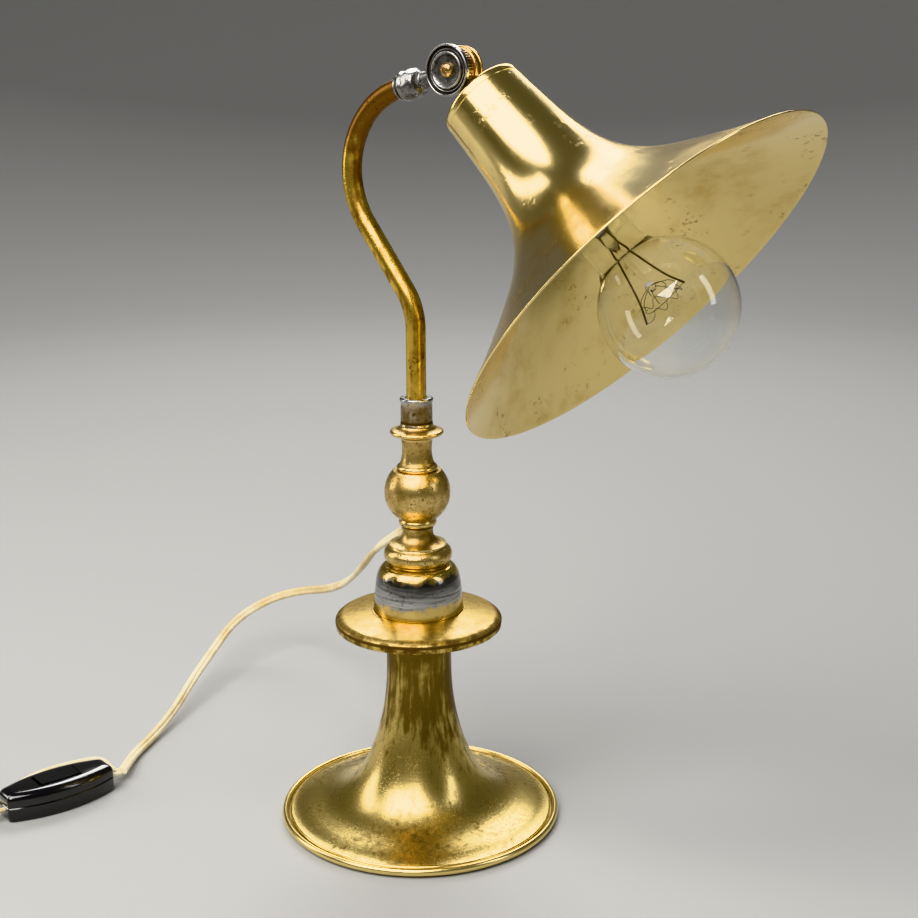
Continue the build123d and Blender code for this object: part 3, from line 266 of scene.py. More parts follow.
def lathe(
    name: str,
    outline: Sequence[Pair],
    place: Matrix | None = None,
    closed: bool = True,
    segments: int = TURNED_SEGMENTS,
    split: int | None = None,
    longest: float = 1.2,
) -> bpy.types.Object:
    """Turns an outline about the Z axis.

    Each vertex gets a "wear" value, above nought on a convex edge and below it in a groove.

    Args:
        name: The piece's name.
        outline: Radius and height of each point, in millimetres.
        place: Where the turned mesh goes.
        closed: Whether the outline closes on itself, or starts and ends on the axis.
        segments: How many steps the turn has.
        split: The run of the outline that starts the second material, or None.
        longest: The longest run of the outline that stays in one piece.

    Returns:
        The new object.
    """
    pts = refined(outline, closed, longest)
    count = len(pts)
    area = sum(a[0] * b[1] - b[0] * a[1] for a, b in zip(pts, pts[1:] + pts[:1]))
    turns = []
    for i in range(count):
        if not closed and i in (0, count - 1):
            turns.append(0.0)
            continue
        a, b, c = pts[i - 1], pts[i], pts[(i + 1) % count]
        cross = (b[0] - a[0]) * (c[1] - b[1]) - (b[1] - a[1]) * (c[0] - b[0])
        dot = (b[0] - a[0]) * (c[0] - b[0]) + (b[1] - a[1]) * (c[1] - b[1])
        turns.append(math.atan2(cross, dot) * (1 if area > 0 else -1))
    wear = []
    for i in range(count):
        total = 0.0
        for j in range(max(0, i - WEAR_WINDOW), min(count, i + WEAR_WINDOW + 1)):
            away = math.dist(pts[i], pts[j])
            total += turns[j] * max(0.0, 1 - away / WEAR_REACH)
        wear.append(max(-1.0, min(1.0, total)))
    bm = bmesh.new()
    layer = bm.verts.layers.float.new("wear")
    rings: list[list[bmesh.types.BMVert]] = []
    for (r, h), value in zip(pts, wear):
        steps = 1 if r < ON_AXIS else segments
        ring = []
        for k in range(steps):
            t = math.tau * k / segments
            vert = bm.verts.new((r * math.cos(t), r * math.sin(t), h))
            vert[layer] = value
            ring.append(vert)
        rings.append(ring)
    for i in range(count if closed else count - 1):
        low, high = rings[i], rings[(i + 1) % count]
        for k in range(segments):
            corners = [low[k % len(low)], low[(k + 1) % len(low)]]
            corners += [high[(k + 1) % len(high)], high[k % len(high)]]
            corners = list(dict.fromkeys(corners))
            if len(corners) > 2:
                face = bm.faces.new(corners)
                face.material_index = int(split is not None and i >= split)
    return finish_mesh(bm, name, place)


def tube(
    name: str,
    path: Sequence[Vector],
    section: Sequence[Pair],
    twist: Callable[[float], float] | None = None,
    lay_flat: bool = False,
    bore: Sequence[Pair] | None = None,
) -> bpy.types.Object:
    """Sweeps a section along a path, with closed ends.

    Args:
        name: The piece's name.
        path: The points that it follows, in millimetres.
        section: The section's points, sideways and upwards, in millimetres.
        twist: Gives the section's turn from its share of the way along.
        lay_flat: Whether the section's sideways stays level instead of following the bends.
        bore: The points of a hole through the tube, as many as the section has.

    Returns:
        The new object.
    """
    pts = [Vector(p) for p in path]
    ways = [(pts[min(i + 1, len(pts) - 1)] - pts[max(i - 1, 0)]).normalized() for i in range(len(pts))]
    side = ways[0].cross(Vector((0, 0, 1)))
    if side.length < UPRIGHT:
        side = Vector((0, 1, 0))
    side.normalize()
    run = [0.0]
    for a, b in zip(pts, pts[1:]):
        run.append(run[-1] + (b - a).length)
    bm = bmesh.new()
    walls: list[list[list[bmesh.types.BMVert]]] = [[], []]
    for i, (p, way) in enumerate(zip(pts, ways)):
        if lay_flat:
            level = way.cross(Vector((0, 0, 1)))
            side = level if level.length > STEEP else side
        side = (side - way * side.dot(way)).normalized()
        up = side.cross(way)
        turn = twist(run[i] / run[-1]) if twist else 0.0
        c, s = math.cos(turn), math.sin(turn)
        for wall, shape in zip(walls, (section, bore or ())):
            if shape:
                spots = [p + side * (x * c - y * s) + up * (x * s + y * c) for x, y in shape]
                wall.append([bm.verts.new(spot) for spot in spots])
    for wall in walls:
        skin(bm, wall)
    for end in (0, -1):
        if bore:
            skin(bm, (walls[0][end], walls[1][end]))
        else:
            bm.faces.new(walls[0][end])
    return finish_mesh(bm, name, sharp=TUBE_SHARP_TURN)


def circle(radius: float, steps: int = 32) -> list[Pair]:
    """Gives the points of a round section."""
    turns = (math.tau * k / steps for k in range(steps))
    return [(radius * math.cos(t), radius * math.sin(t)) for t in turns]


def twin_section(width: float, thick: float, steps: int = 9) -> list[Pair]:
    """Gives a flat twin flex's section: two round cores with a shallow valley along each face."""
    radius = thick / 2
    shift = width / 2 - radius
    pts: list[Pair] = []
    for sign in (1, -1):
        for k in range(2 * steps + 1):
            t = math.radians(-128 + 256 * k / (2 * steps)) + (0 if sign > 0 else math.pi)
            pts.append((sign * shift + radius * math.cos(t), radius * math.sin(t)))
    return pts


def smooth_route(points: Sequence[Triple], resolution: int = 12) -> list[Vector]:
    """Lays a smooth line over a route's points.

    Args:
        points: The route's points, in metres.
        resolution: How finely each span is cut.

    Returns:
        The line's points, in metres.
    """
    curve = bpy.data.curves.new("route", "CURVE")
    curve.dimensions = "3D"
    curve.resolution_u = resolution
    line = curve.splines.new("NURBS")
    line.points.add(len(points) - 1)
    for point, place in zip(line.points, points):
        point.co = (*place, 1.0)
    line.order_u = 3
    line.use_endpoint_u = True
    holder = bpy.data.objects.new("route", curve)
    bpy.context.collection.objects.link(holder)
    bpy.context.view_layer.update()
    mesh = bpy.data.meshes.new_from_object(holder)
    places = [v.co.copy() for v in mesh.vertices]
    bpy.data.objects.remove(holder)
    bpy.data.curves.remove(curve)
    bpy.data.meshes.remove(mesh)
    return places


# ---------------------------------------------------------------- repeated shapes


def new_tree(
    name: str,
    inputs: Sequence[tuple[str, str, object]],
    nodes: dict[str, str],
    links: Sequence[tuple[str, str | int, str, str | int]],
) -> bpy.types.GeometryNodeTree:
    """Builds a Geometry Nodes tree whose shape ends in "whole" and takes the input's finish.

    Args:
        name: The tree's name.
        inputs: Each input's name, socket type and value.
        nodes: Each node's type by its short name.
        links: The node and socket that each link leaves, then those that it enters.

    Returns:
        The tree, with its group input named "enter".
    """
    tree = bpy.data.node_groups.new(name, "GeometryNodeTree")
    tree.interface.new_socket("Geometry", in_out="INPUT", socket_type="NodeSocketGeometry")
    for label, kind, value in (*inputs, ("Finish", "NodeSocketMaterial", None)):
        socket = tree.interface.new_socket(label, in_out="INPUT", socket_type=kind)
        if value is not None:
            socket.default_value = value
    tree.interface.new_socket("Geometry", in_out="OUTPUT", socket_type="NodeSocketGeometry")
    ends = {
        "enter": "NodeGroupInput", "whole": "GeometryNodeRealizeInstances",
        "coat": "GeometryNodeSetMaterial", "leave": "NodeGroupOutput",
    }
    for label, kind in {**nodes, **ends}.items():
        tree.nodes.new(kind).name = label
    finish = (
        ("whole", "Geometry", "coat", "Geometry"), ("enter", "Finish", "coat", "Material"),
        ("coat", "Geometry", "leave", "Geometry"),
    )
    for start, source, end, target in (*links, *finish):
        tree.links.new(tree.nodes[start].outputs[source], tree.nodes[end].inputs[target])
    return tree


def ring_tree() -> bpy.types.GeometryNodeTree:
    """Builds the tree that sets copies of a piece evenly round a circle, each facing out."""
    tree = new_tree(
        "ring_of_pieces",
        (
            ("Piece", "NodeSocketObject", None), ("Count", "NodeSocketInt", 24),
            ("Radius", "NodeSocketFloat", 0.01),
        ),
        {
            "ring": "GeometryNodeMeshCircle", "piece": "GeometryNodeObjectInfo",
            "index": "GeometryNodeInputIndex", "step": "ShaderNodeMath", "angle": "ShaderNodeMath",
            "turn": "ShaderNodeCombineXYZ", "copies": "GeometryNodeInstanceOnPoints",
        },
        (
            ("enter", "Count", "ring", "Vertices"), ("enter", "Radius", "ring", "Radius"),
            ("enter", "Piece", "piece", "Object"), ("enter", "Count", "step", 1),
            ("index", 0, "angle", 0), ("step", 0, "angle", 1), ("angle", 0, "turn", "Z"),
            ("ring", "Mesh", "copies", "Points"), ("piece", "Geometry", "copies", "Instance"),
            ("turn", 0, "copies", "Rotation"), ("copies", "Instances", "whole", "Geometry"),
        ),
    )
    step, angle = tree.nodes["step"], tree.nodes["angle"]
    step.operation, angle.operation = "DIVIDE", "MULTIPLY"
    step.inputs[0].default_value = math.tau
    return tree


def thread_tree() -> bpy.types.GeometryNodeTree:
    """Builds the tree that winds a round rib into a helix, such as a screw thread."""
    tree = new_tree(
        "helix_rib",
        (
            ("Turns", "NodeSocketFloat", 5.0), ("Radius", "NodeSocketFloat", 0.013),
            ("Length", "NodeSocketFloat", 0.02), ("Rib", "NodeSocketFloat", 0.001),
        ),
        {
            "helix": "GeometryNodeCurveSpiral", "rib": "GeometryNodeCurvePrimitiveCircle",
            "sweep": "GeometryNodeCurveToMesh",
        },
        (
            ("enter", "Turns", "helix", "Rotations"), ("enter", "Radius", "helix", "Start Radius"),
            ("enter", "Radius", "helix", "End Radius"), ("enter", "Length", "helix", "Height"),
            ("enter", "Rib", "rib", "Radius"), ("helix", "Curve", "sweep", "Curve"),
            ("rib", "Curve", "sweep", "Profile Curve"), ("sweep", "Mesh", "whole", "Geometry"),
        ),
    )
    for node, socket, value in (
        ("helix", "Resolution", 48), ("rib", "Resolution", 10), ("sweep", "Fill Caps", True)
    ):
        tree.nodes[node].inputs[socket].default_value = value
    return tree


def grown(
    name: str, tree: bpy.types.GeometryNodeTree, values: dict[str, object], place: Matrix
) -> bpy.types.Object:
    """Runs a tree and keeps what it makes as a plain mesh.

    Args:
        name: The piece's name.
        tree: The Geometry Nodes tree.
        values: The value of each named input.
        place: Where the mesh goes, in metres.

    Returns:
        The new object, at the origin.
    """
    seed = bpy.data.objects.new(name, bpy.data.meshes.new(name + "_seed"))
    bpy.context.collection.objects.link(seed)
    modifier = seed.modifiers.new("grow", "NODES")
    modifier.node_group = tree
    for item in tree.interface.items_tree:
        if item.item_type == "SOCKET" and item.in_out == "INPUT" and item.name in values:
            modifier[item.identifier] = values[item.name]
    bpy.context.view_layer.update()
    shape = seed.evaluated_get(bpy.context.evaluated_depsgraph_get())
    mesh = bpy.data.meshes.new_from_object(shape)
    seed.modifiers.remove(modifier)
    seed.data = mesh
    mesh.transform(place)
    mesh.shade_smooth()
    return seed


# ---------------------------------------------------------------- finishes


class Graph:
    """A material's nodes, with short calls to add and join them."""

    def __init__(self, name: str) -> None:
        """Starts a material that holds one Principled shader."""
        self.material = bpy.data.materials.new(name)
        self.material.use_nodes = True
        self.tree = self.material.node_tree
        self.tree.nodes.clear()
        self.out = self.tree.nodes.new("ShaderNodeOutputMaterial")
        self.shader = self.tree.nodes.new("ShaderNodeBsdfPrincipled")
        self.join(self.shader.outputs[0], self.out.inputs["Surface"])

    def join(self, source: bpy.types.NodeSocket, target: bpy.types.NodeSocket) -> None:
        """Links two sockets."""
        self.tree.links.new(source, target)

    def put(self, target: bpy.types.NodeSocket, value: object) -> None:
        """Sets a socket to a value, or links it when the value is a socket."""
        if isinstance(value, bpy.types.NodeSocket):
            self.join(value, target)
        elif isinstance(value, tuple) and len(value) == 3 and target.type == "RGBA":
            target.default_value = (*value, 1.0)
        else:
            target.default_value = value

    def add(
        self, kind: str, values: dict[str | int, object], source: str | int = 0, **settings: object
    ) -> bpy.types.NodeSocket:
        """Adds a node with its settings and its sockets' values, and gives one output."""
        node = self.tree.nodes.new("ShaderNode" + kind)
        for label, value in settings.items():
            setattr(node, label, value)
        for label, value in values.items():
            self.put(node.inputs[label], value)
        return node.outputs[source]

    def math(self, operation: str, *values: object, clamp: bool = False) -> bpy.types.NodeSocket:
        """Adds a Math node and gives its result."""
        return self.add("Math", dict(enumerate(values)), operation=operation, use_clamp=clamp)

    def plus(self, *values: object, clamp: bool = False) -> bpy.types.NodeSocket:
        """Adds two values."""
        return self.math("ADD", *values, clamp=clamp)

    def minus(self, *values: object, clamp: bool = False) -> bpy.types.NodeSocket:
        """Takes the second value from the first."""
        return self.math("SUBTRACT", *values, clamp=clamp)

    def times(self, *values: object, clamp: bool = False) -> bpy.types.NodeSocket:
        """Multiplies two values."""
        return self.math("MULTIPLY", *values, clamp=clamp)

    def place(self, move: Triple = (0, 0, 0), turn: Triple = (0, 0, 0)) -> bpy.types.NodeSocket:
        """Gives Object coordinates as seen from a frame that is moved, then turned."""
        coords = self.add("TexCoord", {}, "Object")
        frame = {"Vector": coords, "Location": move, "Rotation": turn}
        return self.add("Mapping", frame, vector_type="TEXTURE")

    def scaled(self, vector: bpy.types.NodeSocket, scale: Triple) -> bpy.types.NodeSocket:
        """Stretches a vector by a factor along each axis."""
        return self.add("VectorMath", {0: vector, 1: scale}, operation="MULTIPLY")

    def parts(self, vector: bpy.types.NodeSocket) -> tuple[bpy.types.NodeSocket, ...]:
        """Splits a vector into X, Y, Z and its distance from the Z axis."""
        x, y, z = self.add("SeparateXYZ", {0: vector}).node.outputs
        return x, y, z, self.math("SQRT", self.plus(self.times(x, x), self.times(y, y)))

    def joined(self, x: object, y: object, z: object) -> bpy.types.NodeSocket:
        """Joins three values into a vector."""
        return self.add("CombineXYZ", {0: x, 1: y, 2: z})

    def noise(
        self, vector: bpy.types.NodeSocket, scale: float, detail: float = 3.0, rough: float = 0.55,
        warp: float = 0.0,
    ) -> bpy.types.NodeSocket:
        """Adds a noise pattern and gives its value."""
        values = {"Vector": vector, "Scale": scale, "Detail": detail, "Roughness": rough, "Distortion": warp}
        return self.add("TexNoise", values, "Fac")

    def ramp(self, value: bpy.types.NodeSocket, low: float, high: float) -> bpy.types.NodeSocket:
        """Gives 0 below low, 1 above high and a soft step between them."""
        values = {"Value": value, "From Min": low, "From Max": high}
        return self.add("MapRange", values, "Result", interpolation_type="SMOOTHSTEP")

    def mix(self, share: object, first: object, second: object) -> bpy.types.NodeSocket:
        """Mixes two colours."""
        return self.add("Mix", {0: share, 6: first, 7: second}, 2, data_type="RGBA")

    def wear(self) -> tuple[bpy.types.NodeSocket, bpy.types.NodeSocket]:
        """Gives how worn an edge is and how much grime a groove holds, from the mesh's own values."""
        worn = self.add("Attribute", {}, "Fac", attribute_name="wear")
        return self.times(worn, 1.3, clamp=True), self.times(worn, -1.8, clamp=True)

    def bump(self, height: bpy.types.NodeSocket, strength: float, distance: float) -> None:
        """Adds a bump over what the shader's normal already has."""
        target = self.shader.inputs["Normal"]
        values = {"Strength": strength, "Distance": distance, "Height": height}
        if target.is_linked:
            values["Normal"] = target.links[0].from_socket
        self.join(self.add("Bump", values), target)

    def set(self, **values: object) -> None:
        """Sets the shader's sockets by name, with underscores for spaces."""
        for label, value in values.items():
            self.put(self.shader.inputs[label.replace("_", " ")], value)


@dataclass(frozen=True)
class Plating:
    """A second metal that is left over a band of height and worn through elsewhere, with painted shade towards the
    band's top.
    """

    colour: Triple
    low: float
    high: float
    ragged: float

    def over(
        self, g: Graph, colour: bpy.types.NodeSocket, at: Sequence[bpy.types.NodeSocket],
        cloud: bpy.types.NodeSocket, mottle: bpy.types.NodeSocket,
    ) -> bpy.types.NodeSocket:
        """Lays what is left of the plating over the metal's colour.

        Args:
            g: The metal's nodes.
            colour: The colour under the plating.
            at: The place along X, Y and Z.
            cloud: A slow pattern that makes the band's edges wander.
            mottle: A fine pattern that makes them ragged.

        Returns:
            The colour with the plating over it.
        """
        x, y, z = at
        ragged = g.times(g.minus(mottle, 0.5), self.ragged)
        slow = g.times(g.minus(cloud, 0.5), self.ragged * 1.2)
        level = g.plus(z, g.plus(ragged, slow))
        over = g.times(
            g.ramp(level, self.low - PLATE_EDGE, self.low + PLATE_EDGE),
            g.minus(1.0, g.ramp(level, self.high - PLATE_EDGE, self.high + PLATE_EDGE)),
        )
        scuffs = g.noise(g.joined(g.times(x, 60.0), g.times(y, 60.0), g.times(z, 900.0)), 1.0, 4.0)
        # Scuffs, plus painted shade that deepens towards the top of the band.
        dark = g.plus(g.ramp(scuffs, 0.42, 0.72), g.ramp(z, self.low, self.high), clamp=True)
        plate = g.mix(g.times(dark, 0.8), self.colour, tuple(c * 0.22 for c in self.colour))
        return g.mix(over, colour, plate)


@dataclass(frozen=True)
class Metal:
    """A turned, cast or drawn metal with age on it, and on some pieces painted shade and painted reflections.

    The bands are distances in metres along the piece's own axis, and the scales are in cycles per metre.
    """

    name: str
    bright: Triple
    aged: Triple
    grime: Triple
    roughness: float
    aged_share: float = 0.5
    aged_scale: float = 26.0
    ring_lines: float = 0.25
    ring_scale: float = 1500.0
    pits: float = 0.0
    pit_scale: float = 700.0
    pit_gate: float = 0.44
    dents: float = 0.0
    # Long upright marks in the colour: partly patina streaks, partly painted reflections.
    streaks_and_reflections: float = 0.0
    # Painted shade: a band of height, in metres, towards whose top the colour darkens.
    painted_shade_above: tuple[float, float] | None = None
    brown_beyond: tuple[float, float] | None = None
    plating: Plating | None = None
    move: Triple = (0.0, 0.0, 0.0)
    turn: Triple = (0.0, 0.0, 0.0)

    def material(self) -> bpy.types.Material:
        """Builds the material."""
        g = Graph(self.name)
        at = g.place(self.move, self.turn)
        x, y, z, away = g.parts(at)
        along = g.plus(z, away)
        rings = g.joined(g.times(x, 9.0), g.times(y, 9.0), g.times(along, self.ring_scale))
        lines = g.noise(rings, 1.0, 2.0, 0.6)
        cloud = g.noise(at, self.aged_scale, 6.0, 0.62, 0.4)
        mottle = g.noise(at, self.aged_scale * 6, 5.0, 0.65)
        edge, groove = g.wear()
        age = g.plus(g.times(cloud, 0.7), g.times(mottle, 0.3))
        # Long upright marks, darker and lighter: partly patina streaks, partly painted reflections and highlights.
        if self.streaks_and_reflections:
            long_marks = g.noise(g.scaled(at, (320.0, 320.0, 22.0)), 1.0, 4.0, 0.6)
            age = g.plus(age, g.times(g.minus(long_marks, 0.5), self.streaks_and_reflections))
        # Painted shade: the age mask darkens towards the top of this band of height.
        if self.painted_shade_above:
            age = g.plus(age, g.times(g.ramp(z, *self.painted_shade_above), 0.28))
        middle = 1.0 - self.aged_share
        age = g.ramp(age, middle - 0.16, middle + 0.14)
        age = g.minus(age, g.times(edge, 0.75), clamp=True)
        colour = g.mix(age, self.bright, self.aged)
        rough = g.plus(self.roughness, g.times(age, 0.13))
        if self.plating:
            colour = self.plating.over(g, colour, (x, y, z), cloud, mottle)
        grime = g.times(groove, 0.9, clamp=True)
        if self.pits:
            spots = g.ramp(g.noise(at, self.pit_scale, 2.0, 0.5), 0.57, 0.66)
            gate = g.ramp(g.noise(at, self.aged_scale * 3, 2.0, 0.5), self.pit_gate, self.pit_gate + 0.14)
            specks = g.times(g.times(spots, gate), self.pits)
            grime = g.math("MAXIMUM", grime, specks)
            g.bump(g.minus(1.0, specks), 0.35, 0.0002)
        if self.brown_beyond:
            outer = g.times(g.ramp(away, *self.brown_beyond), g.ramp(mottle, 0.36, 0.58))
            grime = g.math("MAXIMUM", grime, g.times(outer, 0.85))
        colour = g.mix(grime, colour, self.grime)
        rough = g.plus(rough, g.times(grime, 0.3), clamp=True)
        g.bump(lines, self.ring_lines, 0.00008)
        if self.dents:
            g.bump(g.noise(at, 55.0, 2.0, 0.4), self.dents, 0.0006)
        g.set(Base_Color=colour, Metallic=1.0, Roughness=rough)
        return g.material


@dataclass(frozen=True)
class Moulding:
    """A plastic or rubber, glossy or matt, with faint flow marks, dust and handling scuffs."""

    name: str
    colour: Triple
    roughness: float
    coat: float = 0.0
    grain: float = 0.15
    grain_scale: float = 900.0
    tint: float = 0.12

    def material(self) -> bpy.types.Material:
        """Builds the material."""
        g = Graph(self.name)
        at = g.place()
        cloud = g.noise(at, 60.0, 5.0, 0.6)
        fine = g.noise(at, self.grain_scale, 3.0, 0.6)
        shade = tuple(max(0.0, c * (1 - self.tint * 2)) for c in self.colour)
        g.set(
            Base_Color=g.mix(g.ramp(cloud, 0.4, 0.68), self.colour, shade),
            Roughness=g.plus(self.roughness, g.times(g.ramp(cloud, 0.45, 0.7), 0.12)),
            Coat_Weight=self.coat,
            Coat_Roughness=0.06,
        )
        g.bump(fine, self.grain, 0.00006)
        return g.material


@dataclass(frozen=True)
class Flex:
    """Aged cream flex: yellowed here and there, with a soft shine and some dirt."""

    name: str = "cream_flex"
    fresh: Triple = (0.80, 0.72, 0.50)
    yellowed: Triple = (0.62, 0.47, 0.22)

    def material(self) -> bpy.types.Material:
        """Builds the material."""
        g = Graph(self.name)
        at = g.place()
        cloud = g.noise(at, 34.0, 5.0, 0.6)
        dirt = g.ramp(g.noise(at, 240.0, 4.0, 0.65), 0.58, 0.74)
        colour = g.mix(g.ramp(cloud, 0.42, 0.66), self.fresh, self.yellowed)
        colour = g.mix(g.times(dirt, 0.45), colour, (0.30, 0.21, 0.10))
        g.set(Base_Color=colour, Roughness=g.plus(0.36, g.times(dirt, 0.2)))
        g.bump(g.noise(at, 700.0, 3.0, 0.5), 0.12, 0.0001)
        return g.material


@dataclass(frozen=True)
class Glass:
    """Clear blown glass."""

    name: str
    tint: Triple = (0.985, 0.99, 0.975)

    def material(self) -> bpy.types.Material:
        """Builds the material."""
        g = Graph(self.name)
        at = g.place()
        g.set(Base_Color=self.tint, Roughness=0.0, IOR=1.47, Transmission_Weight=1.0)
        g.bump(g.noise(at, 40.0, 2.0, 0.4), 0.05, 0.0004)
        return g.material


# The knuckle's pin, in millimetres and in metres.
PIN = (24.465, 0.0, 366.59)
PIN_M = tuple(v * MM for v in PIN)
# The stem's end rises at this angle towards the pin.
HEADING = math.radians(14.5)
# The shade's axis runs down at this angle from the pin.
SHADE_DROP = math.radians(41.0)
SHADE_TURN = (0.0, math.pi / 2 + SHADE_DROP, 0.0)

BRASS_GRIME = (0.055, 0.030, 0.012)


class Finish(Enum):
    """Every finish on the lamp, by the record's slot or by its own name."""

    AGED_BRASS = Metal(
        "aged_brass", (0.74, 0.57, 0.22), (0.17, 0.115, 0.036), (0.035, 0.018, 0.006), 0.24, 0.38, 18.0,
        0.35, 1300.0,
        pits=0.25, pit_scale=1100.0, dents=0.08, streaks_and_reflections=0.85, painted_shade_above=(0.022, 0.075),
    )
    DISC_BRASS = Metal(
        "disc_brass", (0.74, 0.55, 0.19), (0.28, 0.165, 0.045), (0.085, 0.045, 0.02), 0.27, 0.44, 30.0,
        0.35, 1300.0,
        pits=0.45, pit_scale=900.0, dents=0.12, streaks_and_reflections=0.3, brown_beyond=(0.0362, 0.0398),
    )
    RIM_BRASS = Metal(
        "bright_brass", (0.88, 0.70, 0.30), (0.56, 0.40, 0.12), BRASS_GRIME, 0.22, 0.38, 40.0, 0.15,
    )
    WORN_NICKEL = Metal(
        "worn_nickel", (0.78, 0.58, 0.22), (0.36, 0.24, 0.08), BRASS_GRIME, 0.17, 0.42, 40.0, 0.45, 1500.0,
        pits=0.5, dents=0.12, plating=Plating((0.55, 0.54, 0.52), 0.1155, 0.1290, 0.009),
    )
    COLUMN_BRASS = Metal(
        "column_brass", (0.76, 0.57, 0.24), (0.26, 0.155, 0.045), (0.035, 0.018, 0.007), 0.25, 0.48, 60.0,
        0.22, 1500.0,
        pits=0.9, pit_scale=950.0, dents=0.12,
    )
    FERRULE_BRASS = Metal(
        "ferrule_brass", (0.50, 0.41, 0.27), (0.20, 0.14, 0.07), BRASS_GRIME, 0.26, 0.52, 90.0, 0.20,
        pits=0.9, streaks_and_reflections=0.5, plating=Plating((0.52, 0.51, 0.49), 0.2125, 0.2200, 0.008),
    )
    STEM_BRASS = Metal(
        "stem_brass", (0.78, 0.53, 0.13), (0.18, 0.09, 0.025), (0.03, 0.015, 0.007), 0.24, 0.44, 42.0, 0.10,
        pits=0.7, streaks_and_reflections=0.7, painted_shade_above=(0.305, 0.350),
    )
    GUNMETAL = Metal(
        "gunmetal_nickel", (0.34, 0.335, 0.325), (0.085, 0.08, 0.075), (0.025, 0.022, 0.019), 0.25, 0.50,
        170.0, 0.15,
        pits=0.9, pit_scale=1200.0, dents=0.35, move=PIN_M,
    )
    DRUM = Metal(
        "gunmetal_worn_through", (0.46, 0.33, 0.15), (0.15, 0.10, 0.05), (0.022, 0.016, 0.010), 0.26,
        0.52, 160.0, 0.15,
        pits=0.9, pit_scale=900.0, dents=0.25, move=PIN_M,
    )
    SCREW_BRASS = Metal(
        "screw_brass", (0.62, 0.46, 0.25), (0.26, 0.16, 0.07), BRASS_GRIME, 0.24, 0.5, 200.0, 0.1, pits=0.9,
    )
    LUG_BRASS = Metal(
        "lug_brass", (0.56, 0.39, 0.14), (0.22, 0.14, 0.05), BRASS_GRIME, 0.26, 0.52, 130.0, 0.2,
        pits=0.9, move=PIN_M
    )
    SHADE_OUTSIDE = Metal(
        "polished_brass", (0.94, 0.74, 0.33), (0.66, 0.46, 0.15), (0.20, 0.11, 0.03), 0.16, 0.40, 19.0,
        0.06, 700.0,
        pits=0.45, pit_scale=420.0, pit_gate=0.52, dents=0.20, move=PIN_M, turn=SHADE_TURN,
    )
    # Inside of the bell: partly its olive satin tone, partly painted shade, its colour kept far darker than the
    # outside's brass.
    SHADE_INSIDE = Metal(
        "satin_brass_painted_shade", (0.38, 0.27, 0.026), (0.165, 0.115, 0.010), (0.08, 0.045, 0.008), 0.27, 0.52, 13.0,
        0.40, 900.0,
        pits=0.22, pit_scale=900.0, pit_gate=0.58, dents=0.22, move=PIN_M, turn=SHADE_TURN,
    )
    HOLDER_BRASS = Metal(
        "holder_brass", (0.60, 0.44, 0.18), (0.32, 0.21, 0.07), BRASS_GRIME, 0.25, 0.48, 60.0, 0.25,
        move=PIN_M, turn=SHADE_TURN,
    )
    CONTACT_BRASS = Metal(
        "contact_brass", (0.78, 0.60, 0.30), (0.55, 0.38, 0.16), BRASS_GRIME, 0.25, 0.4, 90.0,
    )
    PLATED_STEEL = Metal(
        "plated_steel", (0.62, 0.62, 0.60), (0.36, 0.35, 0.33), (0.10, 0.07, 0.05), 0.33, 0.4, 60.0,
    )
    CAST_IRON = Metal(
        "cast_iron", (0.16, 0.16, 0.16), (0.10, 0.08, 0.07), (0.04, 0.03, 0.03), 0.62, 0.5, 60.0, 0.0,
        pits=0.8,
    )
    BULB_CAP = Metal(
        "bulb_cap_metal", (0.74, 0.72, 0.68), (0.50, 0.47, 0.42), (0.12, 0.10, 0.08), 0.26, 0.4, 90.0,
        move=PIN_M, turn=SHADE_TURN,
    )
    SOLDER = Metal("solder", (0.70, 0.70, 0.72), (0.50, 0.50, 0.52), (0.2, 0.2, 0.2), 0.34, 0.4, 300.0, 0.0)
    WIRE = Metal(
        "support_wire", (0.30, 0.28, 0.26), (0.10, 0.07, 0.05), (0.03, 0.02, 0.02), 0.35, 0.6, 200.0, 0.0,
    )
    FILAMENT = Metal(
        "filament_wire", (0.24, 0.23, 0.22), (0.14, 0.13, 0.13), (0.05, 0.05, 0.05), 0.40, 0.5, 400.0, 0.0,
    )
    PINS = Metal(
        "pin_nickel", (0.76, 0.75, 0.71), (0.55, 0.53, 0.49), (0.2, 0.18, 0.15), 0.22, 0.4, 120.0, 0.1,
    )
    BLACK_GLOSS = Moulding("black_gloss", (0.012, 0.012, 0.013), 0.12, 1.0, 0.05, 500.0)
    BLACK_MATTE = Moulding("black_matte", (0.035, 0.035, 0.036), 0.48)
    VITRITE = Moulding("black_glass", (0.02, 0.02, 0.03), 0.08, 0.6, 0.0)
    PORCELAIN = Moulding("porcelain", (0.86, 0.84, 0.78), 0.14, 0.8, 0.02, 200.0, 0.03)
    BUSHING = Moulding("bushing_plastic", (0.06, 0.05, 0.04), 0.4)
    FIBRE = Moulding("fibre", (0.26, 0.08, 0.05), 0.55, 0.0, 0.3, 1200.0)
    FELT = Moulding("felt", (0.04, 0.11, 0.06), 0.95, 0.0, 1.0, 1500.0, 0.25)
    CREAM_FLEX = Flex()
    CLEAR_GLASS = Glass("clear_glass")


class Paint:
    """Gives each finish's material, made once."""

    def __init__(self) -> None:
        """Starts with no material made."""
        self.made: dict[Finish, bpy.types.Material] = {}

    def __call__(self, finish: Finish) -> bpy.types.Material:
        """Gives a finish's material."""
        if finish not in self.made:
            self.made[finish] = finish.value.material()
        return self.made[finish]

    def dress(self, obj: bpy.types.Object, *finishes: Finish) -> bpy.types.Object:
        """Gives a piece its materials in order, in place of any that it had."""
        obj.data.materials.clear()
        for finish in finishes:
            obj.data.materials.append(self(finish))
        return obj


